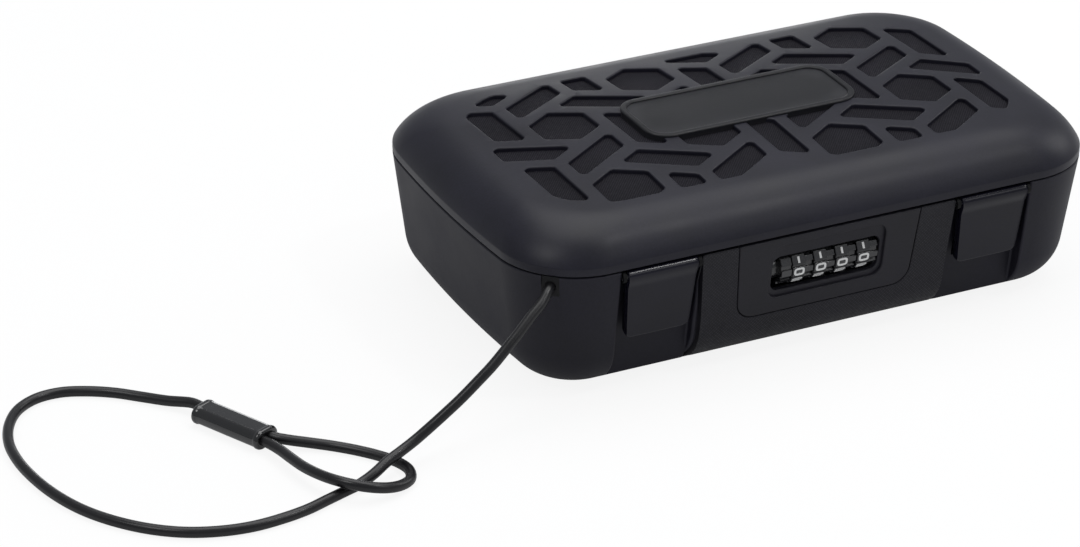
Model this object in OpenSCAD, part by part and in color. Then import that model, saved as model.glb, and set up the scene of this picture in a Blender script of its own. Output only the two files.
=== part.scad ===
// Portable safe: a rounded tub and a domed lid hinged at the back, two drop latches, a four-wheel code lock
// between them, and a steel cable with a loop that leaves the front left corner.
// Z is up, X runs along the case, the lock faces -Y, and Z = 0 is the ground under the feet.

/* [Case] */
// Overall length of the case, over its bowed ends
case_l = 239; // [225:1:260]
// Depth of the case from front to back
case_d = 142; // [136:1:150]
// Height of the tub's rim above the ground
base_h = 50.5; // [48:0.5:60]
// Radius of the case's corners seen from above
corner_r = 30; // [28:0.5:34]
// Radius of the slight bow of the two ends
end_r = 560; // [450:10:800]
// Lean of the tub's walls from upright, in degrees
wall_lean = 7.5; // [5:0.5:8]
// Radius under the tub, between wall and floor
belly_r = 18; // [16:0.5:22]
// Thickness of the tub's walls and floor
wall_t = 3; // [2.6:0.1:3.4]
// Gap between the tub's rim and the lid
rim_gap = 0.5; // [0.4:0.1:1]

/* [Lid] */
// Height of the upright band round the lid
band_h = 3; // [2.5:0.5:6]
// Rise of the lid's middle above the band
lid_rise = 15.8; // [15:0.1:18]
// Radius of the lid's shoulder
shoulder_r = 22; // [20:0.5:23]
// Radius of the lid's flat crown
crown_r = 480; // [420:10:700]
// Thickness of the lid's outer cover
cover_t = 1.6; // [1.4:0.1:2]
// Thickness of the textured panel under the cover
panel_t = 1.4; // [1:0.1:1.8]
// Thickness of the foam under the panel
lid_foam_t = 3; // [2:0.5:4]
// How far the pattern's border lies inside the lid's edge
border_inset = 22; // [21:0.5:26]
// How far the pattern's border sits in front of the lid's middle
border_shift = 1.2; // [0:0.1:3]

/* [Pattern] */
// Side of each six-sided cell, between the middles of the ribs
cell_side = 16.1; // [14:0.1:19]
// Short side of each slanted cell, between the middles of the ribs
slant_side = 18.1; // [14:0.1:20]
// Width of the ribs between the cells
cell_rib = 5.6; // [4:0.1:7]
// How far the pattern sits in front of the lid's middle
pattern_shift = 3.6; // [0:0.1:6]
// Radius of the cells' corners
cell_r = 1.8; // [1:0.1:2.4]
// Length of the bare name plate
plate_l = 87; // [70:1:100]
// Depth of the bare name plate
plate_d = 34; // [28:1:40]
// Radius of the name plate's corners
plate_r = 9; // [6:0.5:12]
// Width of the name plate's raised rim
plate_rim = 2.6; // [2:0.1:4]

/* [Latches] */
// Distance of each latch from the middle of the case
latch_x = 67.75; // [66:0.25:69]
// Width of a latch at its top
latch_w = 28; // [26:0.5:29]
// Height of a latch from its pin to its lower edge
latch_h = 26; // [22:0.5:27]
// Thickness of a latch
latch_t = 2.8; // [2:0.1:3.2]
// Radius of the roll along the top of a latch
roll_r = 2.4; // [2:0.1:2.6]
// Depth of the channels that the latches lie in
channel_depth = 5.5; // [5:0.1:6]
// Width of the channels
channel_w = 31.5; // [31:0.5:33]
// Radius of the latch pins
latch_pin_r = 1; // [0.8:0.05:1.2]

/* [Lock] */
// Spacing of the number wheels along their rod
wheel_pitch = 8.85; // [8.6:0.05:9]
// Distance from a number wheel's axis to its flats
wheel_r = 7.2; // [6.9:0.1:7.4]
// Length of the numbered part of a wheel
ring_l = 5.2; // [4.6:0.1:5.6]
// Radius of the lock rod
rod_r = 2; // [1.8:0.1:2.1]
// Travel of the lock rod and slide
rod_travel = 5.2; // [5.2:0.1:5.6]
// Width of the lock panel at its top
lock_w = 74; // [72:0.5:78]
// Height of the lock panel
lock_h = 32; // [30:0.5:33]
// Thickness of the lock panel
lock_t = 3; // [2.6:0.1:3.2]
// Length of the sunken frame round the wheels
frame_l = 47; // [46:0.5:50]
// Height of the sunken frame round the wheels
frame_h = 22; // [20:0.1:23]

/* [Hinge] */
// Distance of each hinge from the middle of the case
hinge_x = 58; // [40:1:70]
// Length of a hinge
hinge_l = 30; // [24:1:40]
// Radius of the hinge knuckles
knuckle_r = 3; // [2.6:0.1:3.4]
// Radius of the hinge pins
hinge_pin_r = 1.25; // [1:0.05:1.5]

/* [Cable] */
// Diameter of the coated cable
cable_d = 3.8; // [3.6:0.1:4]
// Direction of the cable notch, as an angle round the front left corner
notch_angle = 48; // [45:1:52]
// Width of the cable notch in the rim
notch_w = 6.6; // [6:0.1:8]
// Length of the crimped sleeve on the cable
sleeve_l = 31; // [26:1:34]

/* [Hidden] */
$fn = 96;

// Small gaps between pieces
fit = 0.05;
gap = 0.3;
// A little over, so that cuts break through
over = 1;

// Hinge and latch stand out from the case, and the whole is centred on the origin
hinge_out = 0.5;
latch_out = 1;
case_y = -(hinge_out + knuckle_r - latch_out) / 2;

// Plan of the case: four corners joined by straight sides and bowed ends, all tangent
half_d = case_d / 2;
end_c = case_l / 2 - end_r;
corner_y = half_d - corner_r;
corner_x = end_c + sqrt(pow(end_r - corner_r, 2) - pow(corner_y, 2));

// Tub section
foot_h = 0.8;
foot_r = 6;
belly_z = foot_h + belly_r;
belly_in = (base_h - belly_z) * tan(wall_lean) + belly_r / cos(wall_lean);

// Lid section: the shoulder's arc starts at the band and runs into the crown's arc
lid_z = base_h + rim_gap;
band_z = lid_z + band_h;
crown_c = [half_d, lid_rise - crown_r];
crown_k = norm(crown_c);
shoulder_g = (crown_k * crown_k + shoulder_r * shoulder_r - pow(crown_r - shoulder_r, 2)) / 2 / crown_k;
shoulder_n = sqrt(shoulder_r * shoulder_r - shoulder_g * shoulder_g);
shoulder_c = (crown_c * shoulder_g + [-crown_c.y, crown_c.x] * shoulder_n) / crown_k;
joint_a = atan2(shoulder_c.y - crown_c.y, shoulder_c.x - crown_c.x);
corner_keep = 0.25;
corner_steps = 8;
belly_steps = 7;
cap_inset = half_d - 4;
cover_under = cover_t + fit;
panel_under = cover_under + panel_t;
liner_over = panel_under + fit;

// Front features are set out on the leaning face: Y goes in from it, Z goes down it from the rim
channel_back = 2.6;
bumper_t = 1.8;
bumper_half = latch_x - channel_w / 2;
hook_x = latch_x - 9.2;
hook_t = 2.8;
hook_reach = 20.6;
eye_y = 16.4;
eye_in = 2.5;
eye_z = -20.2;
eye_h = 7.4;
slide_y = eye_y + 0.5;
slide_t = 1.5;
slide_h = 6;
bridge_y = hook_reach + 0.6;
pin_y = 1.1;
pin_z = -2.8;
ear_gap = 0.2;
ear_t = (channel_w - latch_w) / 2 - ear_gap - 0.25;
ear_r = roll_r - 0.3;

wheel_y = 7;
wheel_z = -16.5;
wheel_gap = 0.35;
wheel_l = wheel_pitch - wheel_gap;
wheel_x = -14;
hub_r = wheel_r - 0.9;
tooth_r = wheel_r - 0.3;
sleeve_r = 4.6;
gate_l = 3;
fin_r = rod_r + 1.2;
fin_l = 1.6;
fin_w = 1.4;
window_l = 43.8;
window_h = 14.4;
window_r = 3.2;
case_x = 27;
case_end = 2.5;
case_front = lock_t + 0.1;
case_back = 15;
case_top = -4.4;
case_floor = -28.5;
lock_cover_t = 1.5;
cover_y = 25.5;
cover_top = base_h - 1.9;
flange_t = 1.8;
lug_x = case_x + 3;
lug_z = [-10.5, -22];

axis_z = base_h + rim_gap / 2;
axis_y = half_d + hinge_out;
notch_deep = 7.5;
cable_z = base_h - 4;
stop_r = 4;
stop_l = 12;
stop_at = corner_r - wall_t - 3;
groove_in = 1;
groove_w = 1.4;
groove_deep = 0.7;

// The cable's route in the case's frame: out of the corner, down to the ground, round, through the sleeve and
// round the loop back into it. Heights are counted in cable diameters above its lie on the ground.
lie = cable_d / 2 + fit;
crimp_r = cable_d / 2 + 1.7;
sleeve_at = [-222.3, -21];
sleeve_turn = -64.2;
strand = cable_d / 2 + 0.2;
function notch_at(l) = [-corner_x, -corner_y, cable_z] - l * [cos(notch_angle), sin(notch_angle), 0];
function in_sleeve(l, side) = [sleeve_at.x, sleeve_at.y, crimp_r + fit]
  + l * [cos(sleeve_turn), sin(sleeve_turn), 0] + side * strand * [-sin(sleeve_turn), cos(sleeve_turn), 0];
function lying(list) = [for (p = list) [p.x, p.y, lie + p.z * cable_d]];
cable_route = concat([notch_at(stop_at), notch_at(stop_at + 3), notch_at(stop_at + 6)],
  lying([[-112.8, -67, 10.9], [-118.2, -69.4, 10.1], [-124, -71.9, 9.1], [-130, -74.2, 8.1], [-136, -76, 7],
    [-142.5, -77.4, 5.9], [-149, -78.4, 4.75], [-155.5, -79, 3.65], [-161.5, -79.6, 2.7], [-167.5, -80.6, 1.9],
    [-174, -82.4, 1.35], [-180, -84.8, 1.05], [-185.5, -87.2, 0.6], [-191.5, -88.8, 0.15], [-198, -90.4, 0],
    [-205.5, -93, 0], [-214, -95.9, 0], [-224, -97.7, 0], [-234.5, -98.2, 0], [-245, -96.5, 0], [-256, -92.2, 0],
    [-266, -85.1, 0], [-275, -75.2, 0], [-281.8, -64.2, 0], [-286.6, -51.6, 0], [-289.5, -38.2, 0],
    [-290.6, -24, 0], [-289.3, -10.8, 0], [-285, 1, 0], [-278.4, 9.9, 0], [-270, 14.6, 0], [-261, 15, 0],
    [-252.5, 11.9, 0], [-244, 6.6, 0], [-236.4, -0.2, 0], [-229.6, -7.6, 0.15]]),
  [in_sleeve(-6, 1), in_sleeve(-1, 1), in_sleeve(sleeve_l / 2, 1), in_sleeve(sleeve_l + 1, 1)],
  lying([[-202.6, -52.2, 0.35], [-196.4, -56.2, 0.2], [-189.6, -60.8, 0.05], [-183, -67, 0], [-177.4, -74, 0],
    [-173.6, -80.6, 0], [-172.4, -86.6, 0], [-174.4, -92.2, 0], [-179, -95.6, 0.15], [-185, -97.4, 0.5],
    [-191.4, -96.8, 0.9], [-197, -93.4, 1.12], [-201.2, -88, 1.12], [-204, -81.2, 0.95], [-206, -73.4, 0.75],
    [-207.2, -65.2, 0.6], [-208.2, -58, 0.5]]),
  [in_sleeve(sleeve_l + 1, -1), in_sleeve(sleeve_l / 4, -1)]);
tube_sides = 8;

black = [0.09, 0.09, 0.1];
dark = [0.13, 0.13, 0.14];
rubber = [0.07, 0.07, 0.075];
steel = [0.62, 0.63, 0.65];
brass = [0.78, 0.63, 0.33];
foam = [0.2, 0.2, 0.22];

module placed() translate([0, case_y, 0]) children();
module on_front() placed() translate([0, -half_d, base_h]) rotate([wall_lean, 0, 0]) children();

// Outline points of the case at one inset, through its four corners and two bowed ends
function turn(c, r, a0, a1, n) = [for (k = [0:n]) c + r * [cos(a0 + (a1 - a0) * k / n), sin(a0 + (a1 - a0) * k / n)]];
function inner(list) = [for (k = [1:len(list) - 2]) list[k]];
function back_to_front(list) = [for (k = [len(list) - 1:-1:0]) list[k]];
function outline(i, r, n) = let (y = half_d - i - r, x = end_c + sqrt(pow(end_r - i - r, 2) - y * y),
  a = asin(y / (end_r - i - r))) concat(turn([x, y], r, a, 90, n), turn([-x, y], r, 90, 180 - a, n),
    inner(turn([-end_c, 0], end_r - i, 180 - a, 180 + a, 4)),
    turn([-x, -y], r, 180 + a, 270, n), turn([x, -y], r, 270, 360 - a, n),
    inner(turn([end_c, 0], end_r - i, -a, a, 4)));

// Solid through a list of level rings, closed by its first and last
module level_rings(rings) {
  n = len(rings[0]);
  m = len(rings);
  polyhedron(points = [for (r = rings) each r], faces = concat(
    [[for (k = [0:n - 1]) k]],
    [for (j = [0:m - 2], k = [0:n - 1]) [j * n + k, (j + 1) * n + k, j * n + (k + 1) % n]],
    [for (j = [0:m - 2], k = [0:n - 1]) [j * n + (k + 1) % n, (j + 1) * n + k, (j + 1) * n + (k + 1) % n]],
    [[for (k = [0:n - 1]) (m - 1) * n + n - 1 - k]]));
}

// Solid of the tub's outside, moved in by inset: a rounded belly, then the leaning wall up to the top
module tub(inset, top) {
  r = belly_r - inset;
  arc = [for (k = [0:belly_steps]) let (a = -90 + (90 - wall_lean) * k / belly_steps)
    [belly_in - r * cos(a), belly_z + r * sin(a)]];
  level_rings([for (p = concat(arc, [[(base_h - top) * tan(wall_lean) + inset / cos(wall_lean), top]]))
    [for (q = outline(p.x, corner_r - p.x, corner_steps)) [q.x, q.y, p.y]]]);
}

// Bar along X with the tub's section at its back: the leaning wall, and the belly below it
module edge_bar(l, inset, top) {
  c = [half_d - belly_in, belly_z];
  r = belly_r - inset;
  far = belly_r + 5;
  touch = c + r * [cos(wall_lean), -sin(wall_lean)];
  rotate([90, 0, 90]) linear_extrude(l, center = true)
    polygon([[0, top], [half_d - (base_h - top) * tan(wall_lean) - inset / cos(wall_lean), top],
      touch, [c.x, foot_h + inset], [0, foot_h + inset]]);
  rotate([90, 0, 90]) linear_extrude(l, center = true) translate(c) intersection() {
    circle(r);
    polygon([[0, 0], [0, -far], [far, -far], [far, -far * tan(wall_lean)]]);
  }
}

// Flat slab with the case's plan moved in by inset
module slab(inset, h) {
  linear_extrude(h) polygon(outline(inset, corner_r - inset, 3 * corner_steps));
}

// The lid's rings: its corners tighten slower than it shrinks
function lid_ring(i) = outline(i, min(corner_r - corner_keep * i, half_d - i), 6);
module lid_slab(i, h) linear_extrude(h) polygon(lid_ring(i));
module ring_solid(profile) level_rings([for (p = profile) [for (q = lid_ring(p.x)) [q.x, q.y, p.y]]]);

// Lid surface lowered square to itself by t: the shoulder from the band up, then the crown
function shoulder_start(t) = 180 - acos((shoulder_c.x - t) / (shoulder_r - t));
function shoulder_at(t, a) = [shoulder_c.x + (shoulder_r - t) * cos(a), band_z + shoulder_c.y + (shoulder_r - t) * sin(a)];
function shoulder_rings(t, n) = [for (k = [0:n])
  shoulder_at(t, shoulder_start(t) + (joint_a - shoulder_start(t)) * k / n)];
function crown_at(t, i) = [i, band_z + crown_c.y + sqrt(pow(crown_r - t, 2) - pow(half_d - i, 2))];
function crown_from(t) = crown_c.x + (crown_r - t) * cos(joint_a);
function crown_rings(t, i0, n) = [for (k = [0:n]) crown_at(t, i0 + (cap_inset - i0) * k / n)];
function crown_z(t) = crown_at(t, half_d).y;

// Layer of the crown between two depths, starting inset from the lid's edge
module crown_layer(t0, t1, i0) {
  ring_solid(concat(back_to_front(crown_rings(t1, i0, 4)), crown_rings(t0, i0, 4)));
}

// Pattern of six-sided cells with three slanted cells round each, whose long side is both sides together
tilt = atan(sqrt(3) * slant_side / (2 * cell_side + slant_side)) - 30;
function dir(a) = [cos(a + tilt), sin(a + tilt)];
function cell_six(c) = [for (k = [0:5]) c + cell_side * dir(60 * k + 30)];
function cell_four(c, k) = let (a = c + cell_side * dir(30 - 60 * k), s = slant_side * dir(-60 * k - 30),
  l = (cell_side + slant_side) * dir(-60 * k - 90)) [a, a + s, a + s + l, a + l];
function cross2(a, b) = a.x * b.y - a.y * b.x;
function area(list) = let (n = len(list)) abs([for (k = [0:n - 1]) cross2(list[k], list[(k + 1) % n])] * [for (k = [1:n]) 0.5]);
// Corner of a cell moved in by d from the two sides that meet there
function drawn_in(list, k, d) = let (n = len(list), p = list[k], u = list[(k + n - 1) % n] - p, v = list[(k + 1) % n] - p,
  m = u / norm(u) + v / norm(v)) p + m * d / abs(cross2(m, v / norm(v)));
// Part of a cell on the inner side of one border line, and of all border lines in turn
function behind(list, p, out) = let (n = len(list)) [for (k = [0:n - 1])
  let (a = list[k], b = list[(k + 1) % n], da = (a - p) * out, db = (b - p) * out)
  each concat(da <= 0 ? [a] : [], da * db < 0 ? [a + (b - a) * da / (da - db)] : [])];
function within(list, ring, k = 0) = k == len(ring) || len(list) < 3 ? list :
  let (a = ring[k], b = ring[(k + 1) % len(ring)]) within(behind(list, a, [b.y - a.y, a.x - b.x]), ring, k + 1);
cell_border = [for (q = lid_ring(border_inset + cell_r)) q - [0, border_shift]];
module cell_cut(list) {
  centres = within([for (k = [0:len(list) - 1]) drawn_in(list, k, cell_rib / 2 + cell_r)], cell_border);
  if (len(centres) > 2) if (area(centres) > least_cell)
    hull() for (p = centres) translate(p) circle(cell_r, $fn = 16);
}
least_cell = 6;
pattern_step = sqrt(3 * (cell_side * cell_side + cell_side * slant_side + slant_side * slant_side));
pattern_a = pattern_step * [cos(30), sin(30)];
pattern_b = pattern_step * [0, -1];
pattern_o = -(1.5 * pattern_a + pattern_b) - [0, pattern_shift];
module pattern() {
  for (m = [-2:5], n = [-3:6]) {
    c = pattern_o + m * pattern_a + n * pattern_b;
    if (abs(c.x) < half_d * 2 && abs(c.y) < half_d + 2 * cell_side) {
      cell_cut(cell_six(c));
      for (k = [0:2]) cell_cut(cell_four(c, k));
    }
  }
}
module rounded(l, w, r) {
  hull() for (x = [-1, 1], y = [-1, 1]) translate([x * (l / 2 - r), y * (w / 2 - r)]) circle(r, $fn = 32);
}
module exact_rounded(l, w, r) {
  square([l - 2 * r, w], center = true);
  square([l, w - 2 * r], center = true);
  for (x = [-1, 1], y = [-1, 1]) translate([x * (l / 2 - r), y * (w / 2 - r)]) intersection() {
    circle(r);
    scale([x, y]) square(r);
  }
}

// Outline of the lock panel on the leaning face, grown by g
module lock_outline(g) {
  top = lock_w / 2 + g;
  low = top - 2;
  r = 7;
  polygon([[-top, g], [-low, -lock_h + r], [-low + r, -lock_h - g], [low - r, -lock_h - g], [low, -lock_h + r], [top, g]]);
  for (s = [-1, 1]) translate([s * (low - r), -lock_h + r]) intersection() {
    circle(r);
    scale([s, -1]) square(r + g);
  }
}
// Extrudes a drawing on the leaning face inward from y0 to y1
module inward(y0, y1) translate([0, y1, 0]) rotate([90, 0, 0]) linear_extrude(y1 - y0) children();
module lock_block(g, y0, y1) inward(y0, y1) lock_outline(g);

module channels(extra, deep, top, low) {
  for (s = [-1, 1]) translate([s * latch_x - channel_w / 2 - extra, -4, low]) cube([channel_w + 2 * extra, deep + 4, top - low]);
}
module corner_to_notch() {
  placed() translate([-corner_x, -corner_y, 0]) rotate(180 + notch_angle) children();
}
module cable_way(r, l0, l1) {
  corner_to_notch() translate([l0, 0, cable_z]) rotate([0, 90, 0]) cylinder(h = l1 - l0, r = r);
}

module base_shell() {
  color(black) difference() {
    union() {
      placed() difference() {
        tub(0, base_h);
        tub(wall_t, base_h + over);
      }
      intersection() {
        placed() tub(over, base_h);
        on_front() channels(channel_back, channel_depth + channel_back, -0.2, -46);
      }
    }
    on_front() channels(0, channel_depth, over, -60);
    for (s = [-1, 1]) on_front() translate([s * hook_x - hook_t / 2 - 0.5, channel_depth - over, -29])
      cube([hook_t + 1, channel_back + 2 * over, 30]);
    on_front() lock_block(0.2, -over, wall_t + over);
    placed() bumper_bar(0.1);
    placed() translate([0, 0, base_h - groove_deep]) difference() {
      slab(groove_in, groove_deep + over);
      translate([0, 0, -over]) slab(groove_in + groove_w, groove_deep + 3 * over);
    }
    corner_to_notch() translate([corner_r - wall_t - 6, -notch_w / 2, base_h - notch_deep]) cube([14, notch_w, notch_deep + over]);
    hinge_seats();
    screw_places() translate([0, 0, -wall_t - over]) cylinder(h = wall_t, r = 1.45);
    foot_places() translate([0, 0, -over]) cylinder(h = over + foot_h + 0.7, r = foot_r + 0.1);
  }
}

// Skin of the tub's front between the latches, turned to the front from the back
module bumper_bar(g) {
  mirror([0, 1, 0]) intersection() {
    difference() {
      edge_bar(2 * bumper_half + 2 * g, -g, base_h + over);
      edge_bar(2 * bumper_half + 2 * g + over, bumper_t + g, base_h + 2 * over);
    }
    translate([-latch_x, half_d - 20 - g, -over]) cube([2 * latch_x, 30, base_h + over + (g > 0 ? over : -0.4)]);
  }
}
module front_bumper() {
  color(dark) difference() {
    placed() bumper_bar(0);
    on_front() lock_block(0.2, -over, wall_t + over);
  }
}

module base_liner() {
  color(foam) difference() {
    placed() intersection() {
      tub(wall_t + gap, base_h - 6);
      translate([-case_l, cover_y + 3 - half_d, 0]) cube([2 * case_l, case_d, base_h]);
    }
    placed() intersection() {
      tub(wall_t + gap + 2.5, base_h + over);
      translate([-case_l, cover_y + 5.5 - half_d, 0]) cube([2 * case_l, case_d, base_h + over]);
    }
  }
}

module rim_gasket() {
  color(rubber) difference() {
    placed() translate([0, 0, base_h - groove_deep]) difference() {
      slab(groove_in + fit, groove_deep + 0.25);
      translate([0, 0, -over]) slab(groove_in + groove_w - fit, groove_deep + 3 * over);
    }
    on_front() translate([-latch_x - channel_w / 2 - 0.2, -4, -8]) cube([2 * latch_x + channel_w + 0.4, wall_t + 8, 16]);
    corner_to_notch() translate([corner_r - 12, -notch_w / 2 - 0.1, base_h - 4]) cube([18, notch_w + 0.2, 8]);
    hinge_places() rotate([0, 90, 0]) cylinder(h = hinge_l + 0.8, r = knuckle_r + 0.4, center = true);
  }
}

module foot_places() {
  for (x = [-1, 1], y = [-1, 1]) placed() translate([x * (corner_x - 10), y * (corner_y - 10), 0]) children();
}
module feet() {
  color(rubber) foot_places() cylinder(h = foot_h + 0.7, r = foot_r);
}

// Places of the two hinges, with X along the pin
module hinge_places() {
  for (s = [-1, 1]) placed() translate([s * hinge_x, axis_y, axis_z]) children();
}
module leaf_bar(g) {
  low = base_h - 15 - g;
  high = base_h - 0.6 + 6 * g;
  front = half_d - (1.6 + g) / cos(wall_lean);
  back = half_d + g / cos(wall_lean);
  rotate([90, 0, 90]) linear_extrude(hinge_l + 2 * g, center = true) polygon([[front - (base_h - low) * tan(wall_lean), low],
    [back - (base_h - low) * tan(wall_lean), low], [back - (base_h - high) * tan(wall_lean), high],
    [front - (base_h - high) * tan(wall_lean), high]]);
}
module hinge_seats() {
  for (s = [-1, 1]) {
    placed() translate([s * hinge_x, 0, 0]) leaf_bar(0.1);
    placed() translate([s * hinge_x, axis_y, axis_z]) rotate([0, 90, 0]) cylinder(h = hinge_l + 0.6, r = knuckle_r + 0.35, center = true);
  }
}
module hinge_leaves() {
  color(dark) difference() {
    union() {
      for (s = [-1, 1]) placed() translate([s * hinge_x, 0, 0]) leaf_bar(0);
      hinge_places() rotate([0, 90, 0]) cylinder(h = hinge_l, r = knuckle_r, center = true);
    }
    hinge_places() rotate([0, 90, 0]) cylinder(h = hinge_l + over, r = hinge_pin_r + fit, center = true);
    hinge_places() translate([-hinge_l / 6 - gap, -8, -knuckle_r - gap]) cube([hinge_l / 3 + 2 * gap, 20, 3 * knuckle_r]);
    screw_places() cylinder(h = 8, r = 1.5, center = true);
  }
}
module screw_places() {
  for (s = [-1, 1], x = [-1, 1]) placed() translate([s * hinge_x + x * (hinge_l / 2 - 6), half_d, base_h])
    rotate([-90 - wall_lean, 0, 0]) translate([0, 10, 0]) children();
}
module hinge_pins() {
  color(steel) hinge_places() rotate([0, 90, 0]) cylinder(h = hinge_l + 0.4, r = hinge_pin_r, center = true);
}
module hinge_screws() {
  color(steel) screw_places() {
    translate([0, 0, -wall_t + 0.2]) cylinder(h = wall_t, r = 1.4);
    translate([0, 0, fit]) cylinder(h = 0.8, r = 2.4);
  }
}

module lock_panel() {
  color(dark) on_front() difference() {
    inward(0, lock_t) difference() {
      lock_outline(0);
      translate([-lock_w, -0.6]) square([2 * lock_w, 4]);
    }
    inward(-over, 1.2) translate([0, wheel_z + 1.6]) exact_rounded(frame_l, frame_h, 4.5);
    inward(-over, lock_t + over) translate([0, wheel_z]) exact_rounded(window_l, window_h, window_r);
    for (x = [-lug_x, lug_x], z = lug_z) translate([x, 1.4, z]) rotate([-90, 0, 0]) cylinder(h = lock_t, r = 1.05);
  }
}
module lock_case() {
  color(black) on_front() difference() {
    union() {
      translate([-case_x, case_front, case_floor]) cube([2 * case_x, case_back - case_front, case_top - case_floor]);
      for (z = lug_z) translate([-lug_x - 3, case_front, z - 2.4]) cube([2 * lug_x + 6, flange_t, 4.8]);
    }
    translate([-case_x + case_end, case_front + 1.2, case_floor + 1.5])
      cube([2 * (case_x - case_end), case_back, case_top - case_floor - 3]);
    inward(0, case_front + 2) translate([0, wheel_z]) exact_rounded(window_l + 1, window_h + 1.4, window_r);
    translate([0, wheel_y, wheel_z]) rotate([0, 90, 0]) cylinder(h = 3 * case_x, r = rod_r + fit, center = true);
    for (x = [-lug_x, lug_x], z = lug_z) translate([x, 0, z]) rotate([-90, 0, 0]) cylinder(h = 9, r = 1.1);
  }
}
module lock_cover() {
  color(dark) on_front() difference() {
    union() {
      translate([-case_x, case_back + fit, case_floor]) cube([2 * case_x, lock_cover_t, case_top - case_floor]);
      for (x = [-17, 5]) for (z = [-1, 1]) translate([x, case_back + fit, eye_z + eye_h / 2 + z * (slide_h / 2 + gap) + (z < 0 ? -1.6 : 0)])
        cube([8, slide_y + slide_t + gap - case_back, 1.6]);
      for (x = [-17, 5]) translate([x, slide_y + slide_t + gap, eye_z + eye_h / 2 - slide_h / 2 - gap - 1.6])
        cube([8, 1, slide_h + 2 * gap + 3.2]);
    }
    translate([10, 0, case_floor + 1.8]) cube([8, 40, 2.2]);
  }
}
module lock_screws() {
  color(steel) on_front() for (x = [-lug_x, lug_x], z = lug_z) translate([x, 0, z]) rotate([-90, 0, 0]) {
    translate([0, 0, 1.5]) cylinder(h = case_front + flange_t - 1, r = 1);
    translate([0, 0, case_front + flange_t + fit]) cylinder(h = 1.2, r = 2);
  }
}
// Thin leaf along the case's floor with a raised finger under each wheel's hub
module detent_spring() {
  color(steel) on_front() {
    translate([wheel_x, wheel_y - 2.5, case_floor + 1.55]) cube([4 * wheel_pitch, 5, 0.5]);
    for (k = [0:3]) translate([wheel_x + k * wheel_pitch + ring_l + 0.5, wheel_y - 1, case_floor + 2]) rotate([90, 0, 90])
      linear_extrude(2.2) polygon([[-1.4, 0], [1.4, 0], [0.5, wheel_z - tooth_r - case_floor - 2.5], [-0.5, wheel_z - tooth_r - case_floor - 2.5]]);
  }
}

// Ring of blunt teeth about the X axis
module toothed(r, inner_r, count, width, l, bore) {
  rotate([90, 0, 90]) linear_extrude(l) difference() {
    union() {
      circle(inner_r);
      for (k = [0:count - 1]) rotate(k * 360 / count) translate([0, -width / 2]) square([r, width]);
    }
    circle(bore);
  }
}
module wheel_spacer() {
  wide = wheel_x - 4.4;
  color(dark) on_front() difference() {
    translate([wide, wheel_y, wheel_z]) {
      toothed(tooth_r, hub_r, 10, 2.6, 4, fin_r + 0.3);
      translate([-case_x + case_end + fit - wide, 0, 0]) rotate([0, 90, 0]) difference() {
        cylinder(h = case_x - case_end - fit + wide, r = fin_r + 1.2);
        translate([0, 0, -over]) cylinder(h = 20, r = fin_r + 0.3);
      }
    }
    translate([-case_x, -case_front, wheel_z - 10]) cube([case_x - window_l / 2 + 0.4, 2 * case_front + 1.3, 20]);
  }
}
module wheel(k) {
  color(dark) on_front() translate([wheel_x + k * wheel_pitch, wheel_y, wheel_z]) {
    toothed(wheel_r, hub_r, 10, 3.5, ring_l, sleeve_r + fit);
    translate([ring_l, 0, 0]) toothed(tooth_r, hub_r - 0.5, 10, 2.4, wheel_l - ring_l, sleeve_r + fit);
  }
}
module wheel_1() wheel(0);
module wheel_2() wheel(1);
module wheel_3() wheel(2);
module wheel_4() wheel(3);

// Brass sleeve inside a wheel: a flange with one gate, then a chamber where the rod's fin turns free
module code_sleeve(k) {
  color(brass) on_front() translate([wheel_x + k * wheel_pitch, wheel_y, wheel_z]) rotate([0, 90, 0]) difference() {
    cylinder(h = wheel_l, r = sleeve_r);
    translate([0, 0, -over]) cylinder(h = wheel_l + 2 * over, r = rod_r + fit);
    translate([0, 0, gate_l]) cylinder(h = wheel_l, r = fin_r + 0.3);
    rotate([0, 0, 90]) translate([0, -fin_w / 2 - 0.2, -over]) cube([fin_r + 0.2, fin_w + 0.4, gate_l + 2 * over]);
  }
}
module code_sleeve_1() code_sleeve(0);
module code_sleeve_2() code_sleeve(1);
module code_sleeve_3() code_sleeve(2);
module code_sleeve_4() code_sleeve(3);

module lock_rod() {
  color(steel) on_front() translate([0, wheel_y, wheel_z]) {
    translate([-case_x - 7, 0, 0]) rotate([0, 90, 0]) cylinder(h = 2 * case_x + 11.4, r = rod_r);
    for (k = [0:3]) translate([wheel_x + k * wheel_pitch - gap - fin_l, 0, -fin_w / 2]) cube([fin_l, fin_r, fin_w]);
  }
}
// Flat slide behind the lock with a finger for each latch hook and a tab that the rod is fixed in
module lock_slide() {
  z = eye_z + eye_h / 2 - slide_h / 2;
  left = -hook_x - hook_t / 2;
  far = left - rod_travel - 2.2;
  near = left + hook_t + rod_travel + 0.8;
  color(steel) on_front() difference() {
    union() {
      translate([left + hook_t + 0.6, slide_y, z]) cube([2 * hook_x - hook_t - 1.4, slide_t, slide_h]);
      translate([far, slide_y, z]) cube([left - 0.4 - far, slide_t, slide_h]);
      for (x = [far, near]) translate([x, slide_y, z]) cube([1.5, bridge_y + 1.5 - slide_y, slide_h]);
      translate([far, bridge_y, z]) cube([near + 1.5 - far, 1.5, slide_h]);
      translate([case_x + 2, wheel_y - 3, z]) cube([1.8, slide_y + slide_t - wheel_y + 3, slide_h]);
    }
    translate([case_x, wheel_y, wheel_z]) rotate([0, 90, 0]) cylinder(h = 8, r = rod_r + fit);
  }
}
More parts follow.
